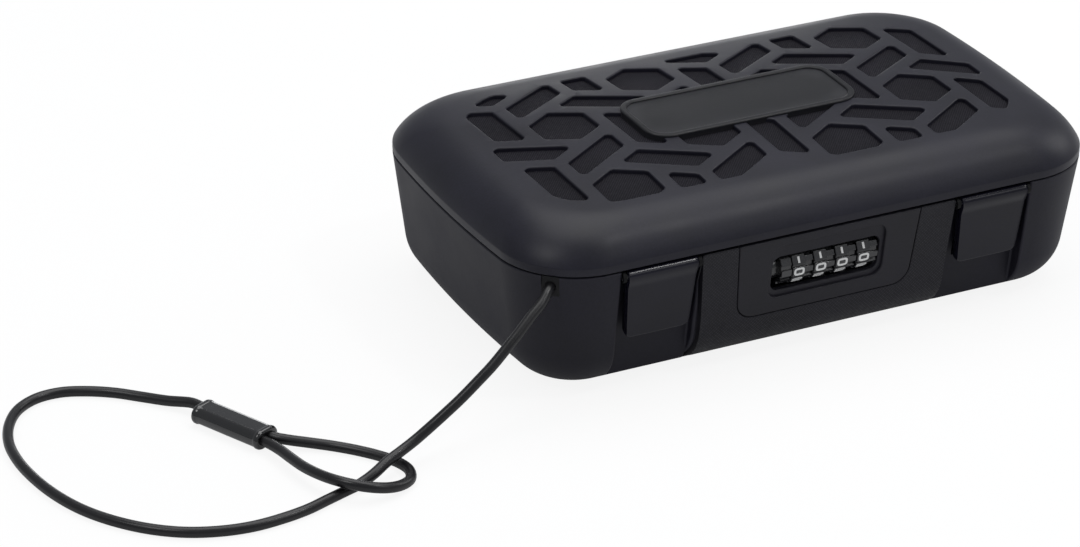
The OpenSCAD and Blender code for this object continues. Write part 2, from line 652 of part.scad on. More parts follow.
module reset_lever() {
  color([0.5, 0.1, 0.08]) on_front() {
    translate([10.4, case_back - 1, case_floor + 1.9]) cube([4, 1 - gap, 2]);
    translate([11, case_back - 1, case_floor + 2]) cube([2.4, lock_cover_t + 2, 1.8]);
    translate([9.6, case_back + fit + lock_cover_t + 0.1, case_floor + 0.6]) cube([5.4, 1.6, 4.4]);
  }
}
// Inner wall that hides the lock, with a lid over the lock that has a slot for each latch hook
module mechanism_cover() {
  y = -half_d + cover_y + 1;
  color(dark) placed() difference() {
    union() {
      intersection() {
        tub(wall_t + gap, cover_top);
        translate([-case_l, y, 0]) cube([2 * case_l, 1.6, base_h]);
      }
      translate([-latch_x - channel_w / 2, -half_d + channel_depth + channel_back + 0.8, cover_top - 0.1])
        cube([2 * latch_x + channel_w, y + half_d - channel_depth - channel_back + 0.8, 1.2]);
      translate([-bumper_half + 4, -half_d + wall_t + 0.7, cover_top - 0.1]) cube([2 * bumper_half - 8, cover_y - wall_t, 1.2]);
    }
    for (s = [-1, 1]) translate([s * hook_x - hook_t / 2 - 0.6, -half_d, cover_top - 6]) cube([hook_t + 1.2, hook_reach + 2.6, 12]);
  }
}

module cable_grommet() {
  color(rubber) difference() {
    corner_to_notch() translate([corner_r - wall_t - 2.4, -notch_w / 2 + fit, base_h - notch_deep + fit])
      cube([wall_t + 1.6, notch_w - 2 * fit, notch_deep - 0.1]);
    cable_way(cable_d / 2 + 0.15, 0, 60);
  }
}
module cable_stop() {
  color(steel) cable_way(stop_r, stop_at - stop_l, stop_at);
}

// The cable is a round tube swept along its route
function unit(v) = v / norm(v);
module tube(points, r, sides) {
  n = len(points);
  ways = [for (k = [0:n - 1]) unit(points[min(k + 1, n - 1)] - points[max(k - 1, 0)])];
  rings = [for (k = [0:n - 1]) let (u = unit(cross(ways[k], [0, 0, 1])), v = cross(u, ways[k]))
    [for (j = [0:sides - 1]) points[k] + r * (cos(360 * (j + 0.5) / sides) * u + sin(360 * (j + 0.5) / sides) * v)]];
  polyhedron(points = [for (g = rings) each g], faces = concat(
    [[for (j = [0:sides - 1]) j]],
    [for (k = [0:n - 2], j = [0:sides - 1]) [k * sides + j, (k + 1) * sides + j, k * sides + (j + 1) % sides]],
    [for (k = [0:n - 2], j = [0:sides - 1]) [k * sides + (j + 1) % sides, (k + 1) * sides + j, (k + 1) * sides + (j + 1) % sides]],
    [[for (j = [0:sides - 1]) (n - 1) * sides + sides - 1 - j]]));
}
module cable() {
  color(black) placed() tube(cable_route, cable_d / 2, tube_sides);
}
// Crimped sleeve, rounded at both sides, with a bore for each strand of the loop
module cable_sleeve() {
  color(black) placed() translate([sleeve_at.x, sleeve_at.y, crimp_r + fit]) rotate([0, 0, sleeve_turn]) difference() {
    union() {
      translate([0, -strand, -crimp_r]) cube([sleeve_l, 2 * strand, 2 * crimp_r]);
      for (s = [-1, 1]) translate([0, s * strand, 0]) rotate([0, 90, 0]) cylinder(h = sleeve_l, r = crimp_r);
    }
    for (s = [-1, 1]) translate([-over, s * strand, 0]) rotate([0, 90, 0]) cylinder(h = sleeve_l + 2 * over, r = cable_d / 2 + fit);
  }
}

module lid_cover() {
  outer = concat([[0, lid_z], [0, band_z]], [for (k = [1:7]) shoulder_rings(0, 8)[k]], crown_rings(0, crown_from(0), 5));
  under = concat([[cover_t, lid_z]], shoulder_rings(cover_t, 6), [for (k = [1:5]) crown_rings(cover_t, crown_from(cover_t), 5)[k]]);
  color(black) difference() {
    placed() ring_solid(concat(back_to_front(under), outer));
    placed() translate([0, 0, lid_z + 6]) linear_extrude(40) difference() {
      pattern();
      rounded(plate_l - 2, plate_d - 2, plate_r - 1);
    }
    hinge_places() translate([-hinge_l / 2 - 0.3, -cover_t - 4, -knuckle_r]) cube([hinge_l + 0.6, 12, knuckle_r * 2 + 0.4]);
  }
}
module lid_panel() {
  color([0.16, 0.16, 0.17]) placed() crown_layer(cover_under, panel_under, crown_from(0) + 0.5);
}
module name_plate() {
  top = crown_z(0);
  color(black) placed() intersection() {
    crown_layer(-0.9, -0.02, crown_from(0) + 8);
    translate([0, 0, top - 10]) linear_extrude(20) difference() {
      rounded(plate_l, plate_d, plate_r);
      rounded(plate_l - 2 * plate_rim, plate_d - 2 * plate_rim, plate_r - plate_rim);
    }
  }
}
// Stiff ring inside the lid's edge, with the lid's hinge knuckles and the ears of the latch pins
module lid_frame() {
  low = lid_z + gap;
  color(dark) difference() {
    union() {
      placed() translate([0, 0, low]) difference() {
        union() {
          lid_slab(cover_t + gap, band_h - gap);
          lid_slab(wall_t + 0.8, band_h + 1.6);
        }
        translate([0, 0, -over]) lid_slab(wall_t + 5, band_h + 4 * over);
      }
      for (s = [-1, 1]) placed() translate([s * hinge_x - hinge_l / 6, half_d - wall_t - 1, lid_z + gap])
        cube([hinge_l / 3, wall_t + 1.5, knuckle_r - rim_gap / 2 - gap]);
      hinge_places() rotate([0, 90, 0]) cylinder(h = hinge_l / 3, r = knuckle_r, center = true);
      ear_places() translate([0, cover_t + 0.4, pin_z]) cube([ear_t, pin_y + ear_r - cover_t - 0.4, 4.1]);
      ear_places() translate([0, pin_y, pin_z]) rotate([0, 90, 0]) cylinder(h = ear_t, r = ear_r);
    }
    hinge_places() rotate([0, 90, 0]) cylinder(h = hinge_l, r = hinge_pin_r + fit, center = true);
    for (s = [-1, 1]) hinge_places() translate([s * hinge_l / 3, 0, 0]) rotate([0, 90, 0])
      cylinder(h = hinge_l / 3 + 2 * gap, r = knuckle_r + 0.35, center = true);
    latch_places() translate([-latch_w, pin_y, pin_z]) rotate([0, 90, 0]) cylinder(h = 2 * latch_w, r = latch_pin_r + fit);
    lid_screw_places() cylinder(h = 4, r = 1.25);
  }
}
module lid_liner() {
  color(foam) placed() crown_layer(liner_over, liner_over + lid_foam_t, crown_from(0) + 1);
}
module lid_screw_places() {
  for (x = [-3, -1, 1, 3], s = [-1, 1]) placed()
    translate([x * corner_x / 3.1, s * (half_d - wall_t - 2.9), lid_z + gap]) children();
}
module lid_screws() {
  color(steel) lid_screw_places() {
    translate([0, 0, -0.25]) cylinder(h = 0.25, r = 1.8);
    cylinder(h = 3.6, r = 1.2);
  }
}

module latch_places() {
  for (s = [-1, 1]) on_front() translate([s * latch_x, 0, 0]) children();
}
// Ears of the lid frame at both ends of each latch's roll
module ear_places() {
  latch_places() for (m = [0, 1]) mirror([m, 0, 0]) translate([latch_w / 2 + ear_gap, 0, 0]) children();
}
module latch_pins() {
  pin_l = latch_w + 2 * (ear_gap + ear_t);
  color(steel) latch_places() translate([-pin_l / 2, pin_y, pin_z]) rotate([0, 90, 0]) cylinder(h = pin_l, r = latch_pin_r);
}
// Flap with its roll at the top, drawn in towards its lower edge
module latch(s) {
  low_half = latch_w / 2 - 1.4;
  color(black) on_front() translate([s * latch_x, 0, 0]) difference() {
    union() {
      translate([-latch_w / 2, pin_y, pin_z]) rotate([0, 90, 0]) cylinder(h = latch_w, r = roll_r);
      intersection() {
        inward(-0.4, latch_t - 0.4) polygon([[-latch_w / 2, pin_z], [-low_half, pin_z - latch_h + 1.5],
          [-low_half + 1.5, pin_z - latch_h], [low_half - 1.5, pin_z - latch_h], [low_half, pin_z - latch_h + 1.5],
          [latch_w / 2, pin_z]]);
        translate([-latch_w, 0, 0]) rotate([90, 0, 90]) linear_extrude(2 * latch_w)
          polygon([[-0.4, 0], [-0.4, pin_z - latch_h + 1], [0.4, pin_z - latch_h], [latch_t, pin_z - latch_h], [latch_t, 0]]);
      }
    }
    translate([-latch_w, pin_y, pin_z]) rotate([0, 90, 0]) cylinder(h = 2 * latch_w, r = latch_pin_r + fit);
  }
}
module latch_left() latch(-1);
module latch_right() latch(1);
// Steel hook on a latch's back, with the eye that the slide's finger enters
module latch_hook(s) {
  color(steel) on_front() translate([s * hook_x - hook_t / 2, 0, 0]) rotate([90, 0, 90]) linear_extrude(hook_t) difference() {
    polygon([[latch_t - 0.4 + fit, -8.5], [hook_reach, eye_z + eye_h + 1.8], [hook_reach, eye_z + 0.7],
      [hook_reach - 2, eye_z - 1.8], [latch_t - 0.4 + fit, -24]]);
    translate([eye_y, eye_z]) square([eye_in, eye_h]);
  }
}
module latch_hook_left() latch_hook(-1);
module latch_hook_right() latch_hook(1);

base_shell();
front_bumper();
base_liner();
rim_gasket();
feet();
hinge_leaves();
hinge_pins();
hinge_screws();
lock_panel();
lock_case();
lock_cover();
lock_screws();
detent_spring();
wheel_spacer();
mechanism_cover();
reset_lever();
lock_rod();
lock_slide();
wheel_1();
wheel_2();
wheel_3();
wheel_4();
code_sleeve_1();
code_sleeve_2();
code_sleeve_3();
code_sleeve_4();
lid_cover();
lid_panel();
name_plate();
lid_frame();
lid_liner();
lid_screws();
latch_pins();
latch_left();
latch_right();
latch_hook_left();
latch_hook_right();
cable_grommet();
cable_stop();
cable();
cable_sleeve();
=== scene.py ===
import bpy, bmesh, math
import numpy as np
from mathutils import Matrix, Vector
from mathutils.geometry import delaunay_2d_cdt


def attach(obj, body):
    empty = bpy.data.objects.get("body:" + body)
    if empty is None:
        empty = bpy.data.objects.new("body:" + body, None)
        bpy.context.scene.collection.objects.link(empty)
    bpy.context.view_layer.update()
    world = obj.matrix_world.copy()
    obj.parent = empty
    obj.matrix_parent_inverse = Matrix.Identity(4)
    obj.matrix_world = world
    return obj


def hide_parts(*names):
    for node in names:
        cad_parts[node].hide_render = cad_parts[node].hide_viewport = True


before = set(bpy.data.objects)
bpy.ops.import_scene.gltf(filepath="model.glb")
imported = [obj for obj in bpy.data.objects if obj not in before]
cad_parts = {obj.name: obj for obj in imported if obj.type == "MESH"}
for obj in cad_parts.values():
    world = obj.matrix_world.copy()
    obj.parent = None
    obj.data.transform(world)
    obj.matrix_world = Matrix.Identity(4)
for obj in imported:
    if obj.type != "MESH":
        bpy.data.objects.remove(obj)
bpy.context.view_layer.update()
print("frame loaded")

# all shapes below are worked out in millimetres and written to the meshes in metres
case = {"length": 239.0, "depth": 142.0, "rim": 50.5, "cornerR": 30.0, "endR": 560.0, "lean": 7.5,
        "bellyR": 18.0, "wall": 3.0, "footH": 0.8, "shiftY": -1.25, "gap": 0.5, "rimRound": 0.8}
halfD = case["depth"] / 2
endC = case["length"] / 2 - case["endR"]  # centre of the large arc of each end, along x
lean = math.radians(case["lean"])
cosL, sinL, tanL = math.cos(lean), math.sin(lean), math.tan(lean)
bellyZ = case["footH"] + case["bellyR"]  # height and inset of the centre of the belly's rounding
bellyIn = (case["rim"] - bellyZ) * tanL + case["bellyR"] / cosL
cornerY = halfD - case["cornerR"]
cornerX = endC + math.sqrt((case["endR"] - case["cornerR"]) ** 2 - cornerY ** 2)

# camera

view = {"back": (-0.3936, -0.7946, 0.4623), "sideTurn": -26.352, "roll": 0.51, "lens": 131.5,
        "place": (-0.64822, -1.14751, 0.68299)}


def addObject(name, data):
    obj = bpy.data.objects.new(name, data)
    bpy.context.scene.collection.objects.link(obj)
    return obj


def makeCamera():
    # looks against the back direction, with its sideways direction level but for the roll
    back = Vector(view["back"]).normalized()
    turn, roll = math.radians(view["sideTurn"]), math.radians(view["roll"])
    side = Vector((math.cos(turn), math.sin(turn), 0))
    side = (side - back * side.dot(back)).normalized()
    top = back.cross(side)
    right = side * math.cos(roll) + top * math.sin(roll)
    up = -side * math.sin(roll) + top * math.cos(roll)
    data = bpy.data.cameras.new("camera")
    data.lens, data.sensor_width, data.clip_end = view["lens"], 36, 20
    cam = addObject("camera", data)
    turned = Matrix((right, up, back)).transposed().to_4x4()
    cam.matrix_world = Matrix.Translation(Vector(view["place"])) @ turned
    bpy.context.scene.camera = cam


makeCamera()
print("camera placed")


# meshes and outlines

def finishMesh(mesh, smooth):
    # smooth shading, broken where two faces meet at more than the smooth angle in degrees
    mesh.shade_smooth()
    mesh.set_sharp_from_angle(angle=math.radians(smooth))
    mesh.update()


def buildPiece(name, parts, material, smooth=38):
    # joins (points, faces) parts into one closed mesh in metres, with doubles merged and faces turned outward
    starts = np.cumsum([0] + [len(points) for points, _ in parts])
    faces = [row for (_, groups), start in zip(parts, starts) for group in groups if len(group)
             for row in (np.asarray(group) + start).tolist()]
    mesh = bpy.data.meshes.new(name)
    mesh.from_pydata(np.concatenate([np.asarray(points, float) for points, _ in parts]) * 0.001, [], faces)
    work = bmesh.new()
    work.from_mesh(mesh)
    bmesh.ops.remove_doubles(work, verts=work.verts, dist=2e-6)
    bmesh.ops.dissolve_degenerate(work, edges=work.edges, dist=1e-6)
    bmesh.ops.recalc_face_normals(work, faces=work.faces)
    work.to_mesh(mesh)
    work.free()
    finishMesh(mesh, smooth)
    if material:
        mesh.materials.append(material)
    return addObject(name, mesh)


def fitPiece(obj, body, slot, *nodes):
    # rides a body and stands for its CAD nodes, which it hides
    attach(obj, body)
    if nodes:
        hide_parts(*nodes)
    weigh = obj.modifiers.new("even shading", "WEIGHTED_NORMAL")
    weigh.keep_sharp = True


def cutWith(obj, cutters, smooth=38):
    # takes the cutters away from the piece and keeps the result as its mesh
    for cutter in cutters:
        cut = obj.modifiers.new("cut", "BOOLEAN")
        cut.operation, cut.solver, cut.object = "DIFFERENCE", "MANIFOLD", cutter
    graph = bpy.context.evaluated_depsgraph_get()
    mesh = bpy.data.meshes.new_from_object(obj.evaluated_get(graph))
    obj.modifiers.clear()
    obj.data = mesh
    for cutter in cutters:
        bpy.data.objects.remove(cutter)
    finishMesh(mesh, smooth)


def ringFaces(rows, cols, looped=False):
    # quads between neighbouring rings of a grid, and from the last ring to the first where it is looped
    j, k = np.meshgrid(np.arange(rows if looped else rows - 1), np.arange(cols), indexing="ij")
    here, there, nextK = j * cols, (j + 1) % rows * cols, (k + 1) % cols
    return np.stack([here + k, here + nextK, there + nextK, there + k], -1).reshape(-1, 4)


def gridSolid(rings):
    # closed solid through rings of points, with one flat face over each end
    rings = np.asarray(rings, float)
    rows, cols = rings.shape[:2]
    caps = np.arange(cols) + np.array([[0], [(rows - 1) * cols]])
    return rings.reshape(-1, 3), [ringFaces(rows, cols), caps]


def boxPart(lo, hi, place):
    # six faces of a block between two corners, moved by the place function
    x, y, z = np.meshgrid(*zip(lo, hi), indexing="ij")
    sides = [[0, 1, 3, 2], [4, 6, 7, 5], [0, 4, 5, 1], [2, 3, 7, 6], [0, 2, 6, 4], [1, 5, 7, 3]]
    return place(np.stack([x, y, z], -1).reshape(-1, 3)), [sides]


def atHeight(flat, z):
    # level outline as points of the case frame
    return np.column_stack([flat, np.full(len(flat), z)])


def inCase(pts):
    # case frame to the shared frame
    return np.asarray(pts, float) + [0, case["shiftY"], 0]


def onFront(pts):
    # leaning front frame (x along, y inward, z up the face from the rim) to the shared frame
    p = np.asarray(pts, float)
    return np.stack([p[..., 0], -halfD + p[..., 1] * cosL - p[..., 2] * sinL + case["shiftY"],
                     case["rim"] + p[..., 1] * sinL + p[..., 2] * cosL], -1)


def facePlace(p, t):
    # flat outline on the leaning face, t deep
    return onFront(np.column_stack([p[:, 0], np.full(len(p), t), p[:, 1]]))


def arc(cx, cy, r, a0, a1, n):
    # n even steps of angle from a0 to a1 degrees, each point r from the centre
    a = np.radians(np.linspace(a0, a1, n + 1))
    return np.stack([cx + r * np.cos(a), cy + r * np.sin(a)], -1)


def softLoop(corners, radii, grow=0.0, n=6):
    # closed outline through corners, moved out square to each side by grow, each corner turned by an arc
    c = np.asarray(corners, float)
    before, after = np.roll(c, 1, 0), np.roll(c, -1, 0)
    u = (c - before) / np.linalg.norm(c - before, axis=1)[:, None]
    v = (after - c) / np.linalg.norm(after - c, axis=1)[:, None]
    bend = u[:, 0] * v[:, 1] - u[:, 1] * v[:, 0]
    outU, outV = np.stack([u[:, 1], -u[:, 0]], -1), np.stack([v[:, 1], -v[:, 0]], -1)
    mitre = (outU + outV) / (1 + (outU * outV).sum(1))[:, None]
    turn = np.sign(bend)
    r = np.maximum(np.asarray(radii, float) + grow * turn, 0.03)
    centre = c + grow * mitre - (r * turn)[:, None] * mitre
    sweep = np.arctan2(bend, (u * v).sum(1))
    a = np.arctan2(outU[:, 1], outU[:, 0])[:, None] + sweep[:, None] * np.linspace(0, 1, n + 1)[None]
    pts = centre[:, None] + (r * turn)[:, None, None] * np.stack([np.cos(a), np.sin(a)], -1)
    return pts.reshape(-1, 2)


def rectLoop(w, h, r, cz=0.0, n=10):
    # rounded rectangle as a function of its growth
    corners = [[-w / 2, cz - h / 2], [w / 2, cz - h / 2], [w / 2, cz + h / 2], [-w / 2, cz + h / 2]]
    return lambda g: softLoop(corners, [r] * 4, g, n)


def divided(loopOf, step):
    # same outline with its long sides cut into even steps, equally many at every growth
    base = loopOf(0.0)
    sizes = np.linalg.norm(np.roll(base, -1, 0) - base, axis=1)
    count = np.maximum(1, np.ceil(sizes / step)).astype(int)
    corner = np.repeat(np.arange(len(base)), count)
    part = np.concatenate([np.arange(m) / m for m in count])[:, None]

    def loopAt(g):
        loop = loopOf(g)
        return loop[corner] + (np.roll(loop, -1, 0) - loop)[corner] * part
    return loopAt


def insideLoop(points, loop):
    # even-odd test of many points against one outline
    x, y = points[:, 0][:, None], points[:, 1][:, None]
    a, b = loop, np.roll(loop, -1, 0)
    cross = (a[:, 1] > y) != (b[:, 1] > y)
    with np.errstate(divide="ignore", invalid="ignore"):
        at = a[:, 0] + (y - a[:, 1]) * (b[:, 0] - a[:, 0]) / (b[:, 1] - a[:, 1])
    return (cross & (x < at)).sum(1) % 2 == 1


def latticeInside(loops, spacing):
    # rows of points, every second row half a step over, kept inside the sheet and clear of its outlines
    lo, hi = loops[0].min(0), loops[0].max(0)
    gx, gy = np.meshgrid(np.arange(lo[0], hi[0], spacing), np.arange(lo[1], hi[1], spacing * 0.866))
    gx[1::2] += spacing / 2
    grid = np.stack([gx.ravel(), gy.ravel()], -1)
    keep = insideLoop(grid, loops[0])
    for hole in loops[1:]:
        keep &= ~insideLoop(grid, hole)
    grid, rimPts = grid[keep], np.concatenate(loops)
    away = np.full(len(grid), np.inf)
    for at in range(0, len(rimPts), 400):
        away = np.minimum(away, np.linalg.norm(grid[:, None] - rimPts[None, at:at + 400], axis=2).min(1))
    return grid[away > spacing * 0.35]


def keepSheet(tris, rim, inner, count):
    # triangles that share an edge other than an outline's get one label; the sheet is every label that lies
    # on the inner side of an outline
    def code(pairs):
        return pairs[:, 0] * count + pairs[:, 1]
    sides = np.stack([tris, np.roll(tris, -1, 1)], -1).reshape(-1, 2)
    here, there, owner = code(sides), code(sides[:, ::-1]), np.repeat(np.arange(len(tris)), 3)
    order = np.argsort(here)
    at = np.minimum(np.searchsorted(here[order], there), len(order) - 1)
    free = (here[order][at] == there) & ~np.isin(here, np.concatenate([code(rim), code(rim[:, ::-1])]))
    one, other = owner[free], owner[order][at][free]
    label, last = np.arange(len(tris)), None
    while last is None or (label != last).any():
        last, label = label, label.copy()
        low = np.minimum(last[one], last[other])
        np.minimum.at(label, one, low)
        np.minimum.at(label, other, low)
        label = label[label]
    return tris[np.isin(label, label[owner[np.isin(here, code(inner))]])]


def fillSheet(loops, spacing):
    # flat triangles between an outer outline and its holes, with a lattice of points between them
    rims, inner, first = [], [], 0
    for loop in loops:
        k, after = np.arange(len(loop)), np.roll(loop, -1, 0)
        turnsLeft = (loop[:, 0] * after[:, 1] - loop[:, 1] * after[:, 0]).sum() > 0
        rims.append(np.stack([first + k, first + (k + 1) % len(loop)], -1))
        inner.append(rims[-1] if turnsLeft == (first == 0) else rims[-1][:, ::-1])
        first += len(loop)
    rim, inner = np.concatenate(rims), np.concatenate(inner)
    every = np.concatenate(loops + [latticeInside(loops, spacing)])
    # a faint bend of the whole sheet keeps points on one straight side from being dropped as one long edge
    bent = every + 2e-5 * every[:, ::-1] ** 2
    out = delaunay_2d_cdt([Vector(p) for p in bent.tolist()], rim.tolist(), [], 0, 1e-9)
    source = np.array([ids[0] if ids else -1 for ids in out[3]])
    tris = source[np.array(out[2])]
    return every, keepSheet(tris[(tris >= 0).all(1)], rim, inner, len(every))


def plateSolid(outer, holes, outerEdge, holeEdge, place, spacing, outerRings=None):
    # closed plate: a sheet, its underside, and the bands of quads round each outline between the two; an edge
    # is a list of (grow, depth) pairs; outerRings are the outer band's points where it has a way of its own
    loops = [(outer, outerEdge)] + [(hole, holeEdge) for hole in holes]
    tops = [loop(edge[0][0]) for loop, edge in loops]
    flat, tris = fillSheet(tops, spacing)
    foot = np.concatenate([loop(edge[-1][0]) for loop, edge in loops])
    low = np.concatenate([foot, flat[len(foot):]])
    points = [place(flat, outerEdge[0][1]), place(low, outerEdge[-1][1])]
    faces = [tris, tris[:, ::-1] + len(flat)]
    first, at = 0, 2 * len(flat)
    for (loop, edge), top in zip(loops, tops):
        k = np.arange(len(top))
        rings = outerRings if outerRings and loop is outer else [place(loop(g), t) for g, t in edge[1:-1]]
        stops = [first + k] + [at + j * len(top) + k for j in range(len(rings))] + [first + len(flat) + k]
        for last, now in zip(stops, stops[1:]):
            faces.append(np.stack([last, now, np.roll(now, -1), np.roll(last, -1)], -1))
        points += rings
        first, at = first + len(top), at + len(top) * len(rings)
    return np.concatenate(points), faces


def edgeRings(r, depth, n=4, low=0.0, sign=1.0):
    # rounded upper edge of radius r, a straight side, and a lower rounding of radius low
    a = np.radians(np.linspace(0, 90, n + 1))
    out = [(-sign * (r - r * math.sin(t)), r - r * math.cos(t)) for t in a]
    if low > 0:
        return out + [(-sign * (low - low * math.cos(t)), depth - low + low * math.sin(t)) for t in a]
    return out + [(0.0, depth)]


def lathe(profile, turns=48):
    # profile of (distance along, radius) turned round the X axis, closed at both ends
    p = np.asarray(profile, float)
    a = np.radians(np.linspace(0, 360, turns, endpoint=False))
    along = np.broadcast_to(p[:, :1], (len(p), turns))
    return gridSolid(np.stack([along, p[:, 1:] * np.cos(a), p[:, 1:] * np.sin(a)], -1))


# finishes

class Recipe:
    # nodes of one material: every call adds a node and gives back one of its outputs
    def __init__(self, name):
        self.material = bpy.data.materials.new(name)
        self.material.use_nodes = True
        self.tree = self.material.node_tree
        self.shader = self.tree.nodes["Principled BSDF"]
        self.where = self.add("TexCoord", {}, "Object")

    def set(self, node, settings):
        # small first letter: an option of the node; otherwise an input, set to a value or wired to an output
        for key, value in settings.items():
            if isinstance(key, str) and key[0].islower():
                setattr(node, key, value)
            elif isinstance(value, bpy.types.NodeSocket):
                self.tree.links.new(value, node.inputs[key])
            else:
                node.inputs[key].default_value = value

    def add(self, kind, settings, out=0):
        node = self.tree.nodes.new("ShaderNode" + kind)
        self.set(node, settings)
        return node.outputs[out]

    def noise(self, scale, detail, rough=0.5, where=None):
        return self.add("TexNoise", {"Scale": scale, "Detail": detail, "Roughness": rough,
                                     "Vector": where or self.where}, "Fac")

    def pores(self, scale):
        return self.add("TexVoronoi", {"Scale": scale, "Vector": self.where}, "Distance")

    def maths(self, operation, *values):
        return self.add("Math", {"operation": operation, **dict(enumerate(values))})

    def span(self, value, fromLow, fromHigh, toLow=0.0, toHigh=1.0):
        return self.add("MapRange", {"Value": value, "From Min": fromLow, "From Max": fromHigh,
                                     "To Min": toLow, "To Max": toHigh}, "Result")

    def ramp(self, value, colour, *stops):
        # the colour times one factor at each of two stops
        node = self.tree.nodes.new("ShaderNodeValToRGB")
        self.tree.links.new(value, node.inputs["Fac"])
        for stop, (at, k) in zip(node.color_ramp.elements, stops):
            stop.position, stop.color = at, (*[min(1, c * k) for c in colour], 1)
        return node.outputs["Color"]

    def mix(self, factor, a, b, way="MIX"):
        return self.add("Mix", {"data_type": "RGBA", "blend_type": way, "Factor": factor, "A": a, "B": b},
                        "Result")

    def relief(self, height, strength, depth):
        # depth in millimetres
        return self.add("Bump", {"Strength": strength, "Distance": depth * 0.001, "Height": height}, "Normal")

    def finish(self, colour, rough, normal, **more):
        names = {"specular": "Specular IOR Level", "coat": "Coat Weight", "coatRough": "Coat Roughness",
                 "metallic": "Metallic", "sheen": "Sheen Weight"}
        self.set(self.shader, {"Base Color": colour, "Roughness": rough, "Normal": normal})
        self.set(self.shader, {names[key]: value for key, value in more.items()})
        return self.material


def moulded(name, colour, rough, grain=900.0, bump=0.02, tint=0.25, specular=0.28, edgeHighlight=0.0, cloud=30.0,
            coat=0.0):
    # plastic with a fine moulded grain, cloudy colour and roughness, and sharp edges painted paler as a
    # painted highlight
    m = Recipe(name)
    clouds, fine = m.noise(cloud, 4.0, 0.6), m.noise(grain, 3.0, 0.65)
    paint = m.ramp(clouds, colour, (0.3, 1 - tint), (0.7, 1 + tint))
    paint = m.mix(0.5, paint, m.span(fine, 0.3, 0.7, 0.7, 1.3), "MULTIPLY")
    if edgeHighlight > 0:
        # painted highlight: where the surface bends sharply its colour is paled toward white, standing in for
        # light caught on rounded edges
        edges = m.span(m.add("NewGeometry", {}, "Pointiness"), 0.52, 0.6, 0.0, edgeHighlight)
        paint = m.mix(edges, paint, (*[min(1, c * 2.2 + 0.015) for c in colour], 1))
    gloss = m.span(clouds, 0.25, 0.75, rough - 0.06, rough + 0.06)
    relief = m.relief(m.maths("ADD", fine, m.pores(grain * 1.3)), 0.35, bump)
    coating = {"coat": coat, "coatRough": 0.12} if coat > 0 else {}
    return m.finish(paint, gloss, relief, specular=specular, **coating)


def crossed(name, colour, rough, pitch, depth, angle, flat, pale=1.35, specular=0.28):
    # fine crossed lines over moulded plastic: two slanted sets of waves meet in small raised lozenges
    m = Recipe(name)
    waves = []
    for side in (1, -1):
        turn = math.radians(side * angle)
        turned = (0, turn, 0) if flat == "XZ" else (0, 0, turn)
        slant = m.add("Mapping", {"Vector": m.where, "Rotation": turned})
        waves.append(m.add("TexWave", {"Scale": 100 * math.pi / pitch, "Distortion": 0.6, "Detail": 1.0,
                                       "Detail Scale": 3.0, "bands_direction": "X", "Vector": slant}, "Fac"))
    # the lines fade out on sides that turn away from the sheet they are laid on, and those sides take the
    # pattern's darkest tone: painted shade on the side walls
    facing = m.add("SeparateXYZ", {"Vector": m.add("TexCoord", {}, "Normal")}, "Y" if flat == "XZ" else "Z")
    sideShade = m.span(m.maths("ABSOLUTE", facing), 0.5, 0.8)
    lines = m.maths("MULTIPLY", m.maths("MULTIPLY", *waves), sideShade)
    fine, clouds = m.noise(700.0, 3.0), m.noise(35.0, 3.0)
    paint = m.ramp(lines, colour, (0.1, 0.55), (0.8, pale))
    paint = m.mix(0.6, paint, m.span(clouds, 0.3, 0.7, 0.65, 1.35), "MULTIPLY")
    gloss = m.span(fine, 0.3, 0.7, rough - 0.07, rough + 0.07)
    relief = m.relief(m.maths("MULTIPLY_ADD", fine, 0.25, lines), 0.8, depth)
    return m.finish(paint, gloss, relief, specular=specular)


def metal(name, colour, rough):
    # drawn metal: long streaks in roughness and relief, spots in colour
    m = Recipe(name)
    streak = m.noise(250.0, 4.0, where=m.add("Mapping", {"Vector": m.where, "Scale": (1, 12, 12)}))
    paint = m.ramp(m.noise(60.0, 3.0), colour, (0.3, 0.8), (0.7, 1.12))
    gloss = m.span(streak, 0.3, 0.7, rough - 0.08, rough + 0.1)
    return m.finish(paint, gloss, m.relief(streak, 0.2, 0.02), metallic=1.0)


def foamed(name, colour):
    # open foam: pin holes in colour and relief over soft mottling, with a faint sheen
    m = Recipe(name)
    holes = m.pores(1100.0)
    paint = m.ramp(holes, colour, (0.1, 0.45), (0.6, 1.2))
    paint = m.mix(0.7, paint, m.span(m.noise(90.0, 4.0), 0.3, 0.7, 0.7, 1.2), "MULTIPLY")
    return m.finish(paint, 0.92, m.relief(holes, 0.7, 0.3), sheen=0.15)


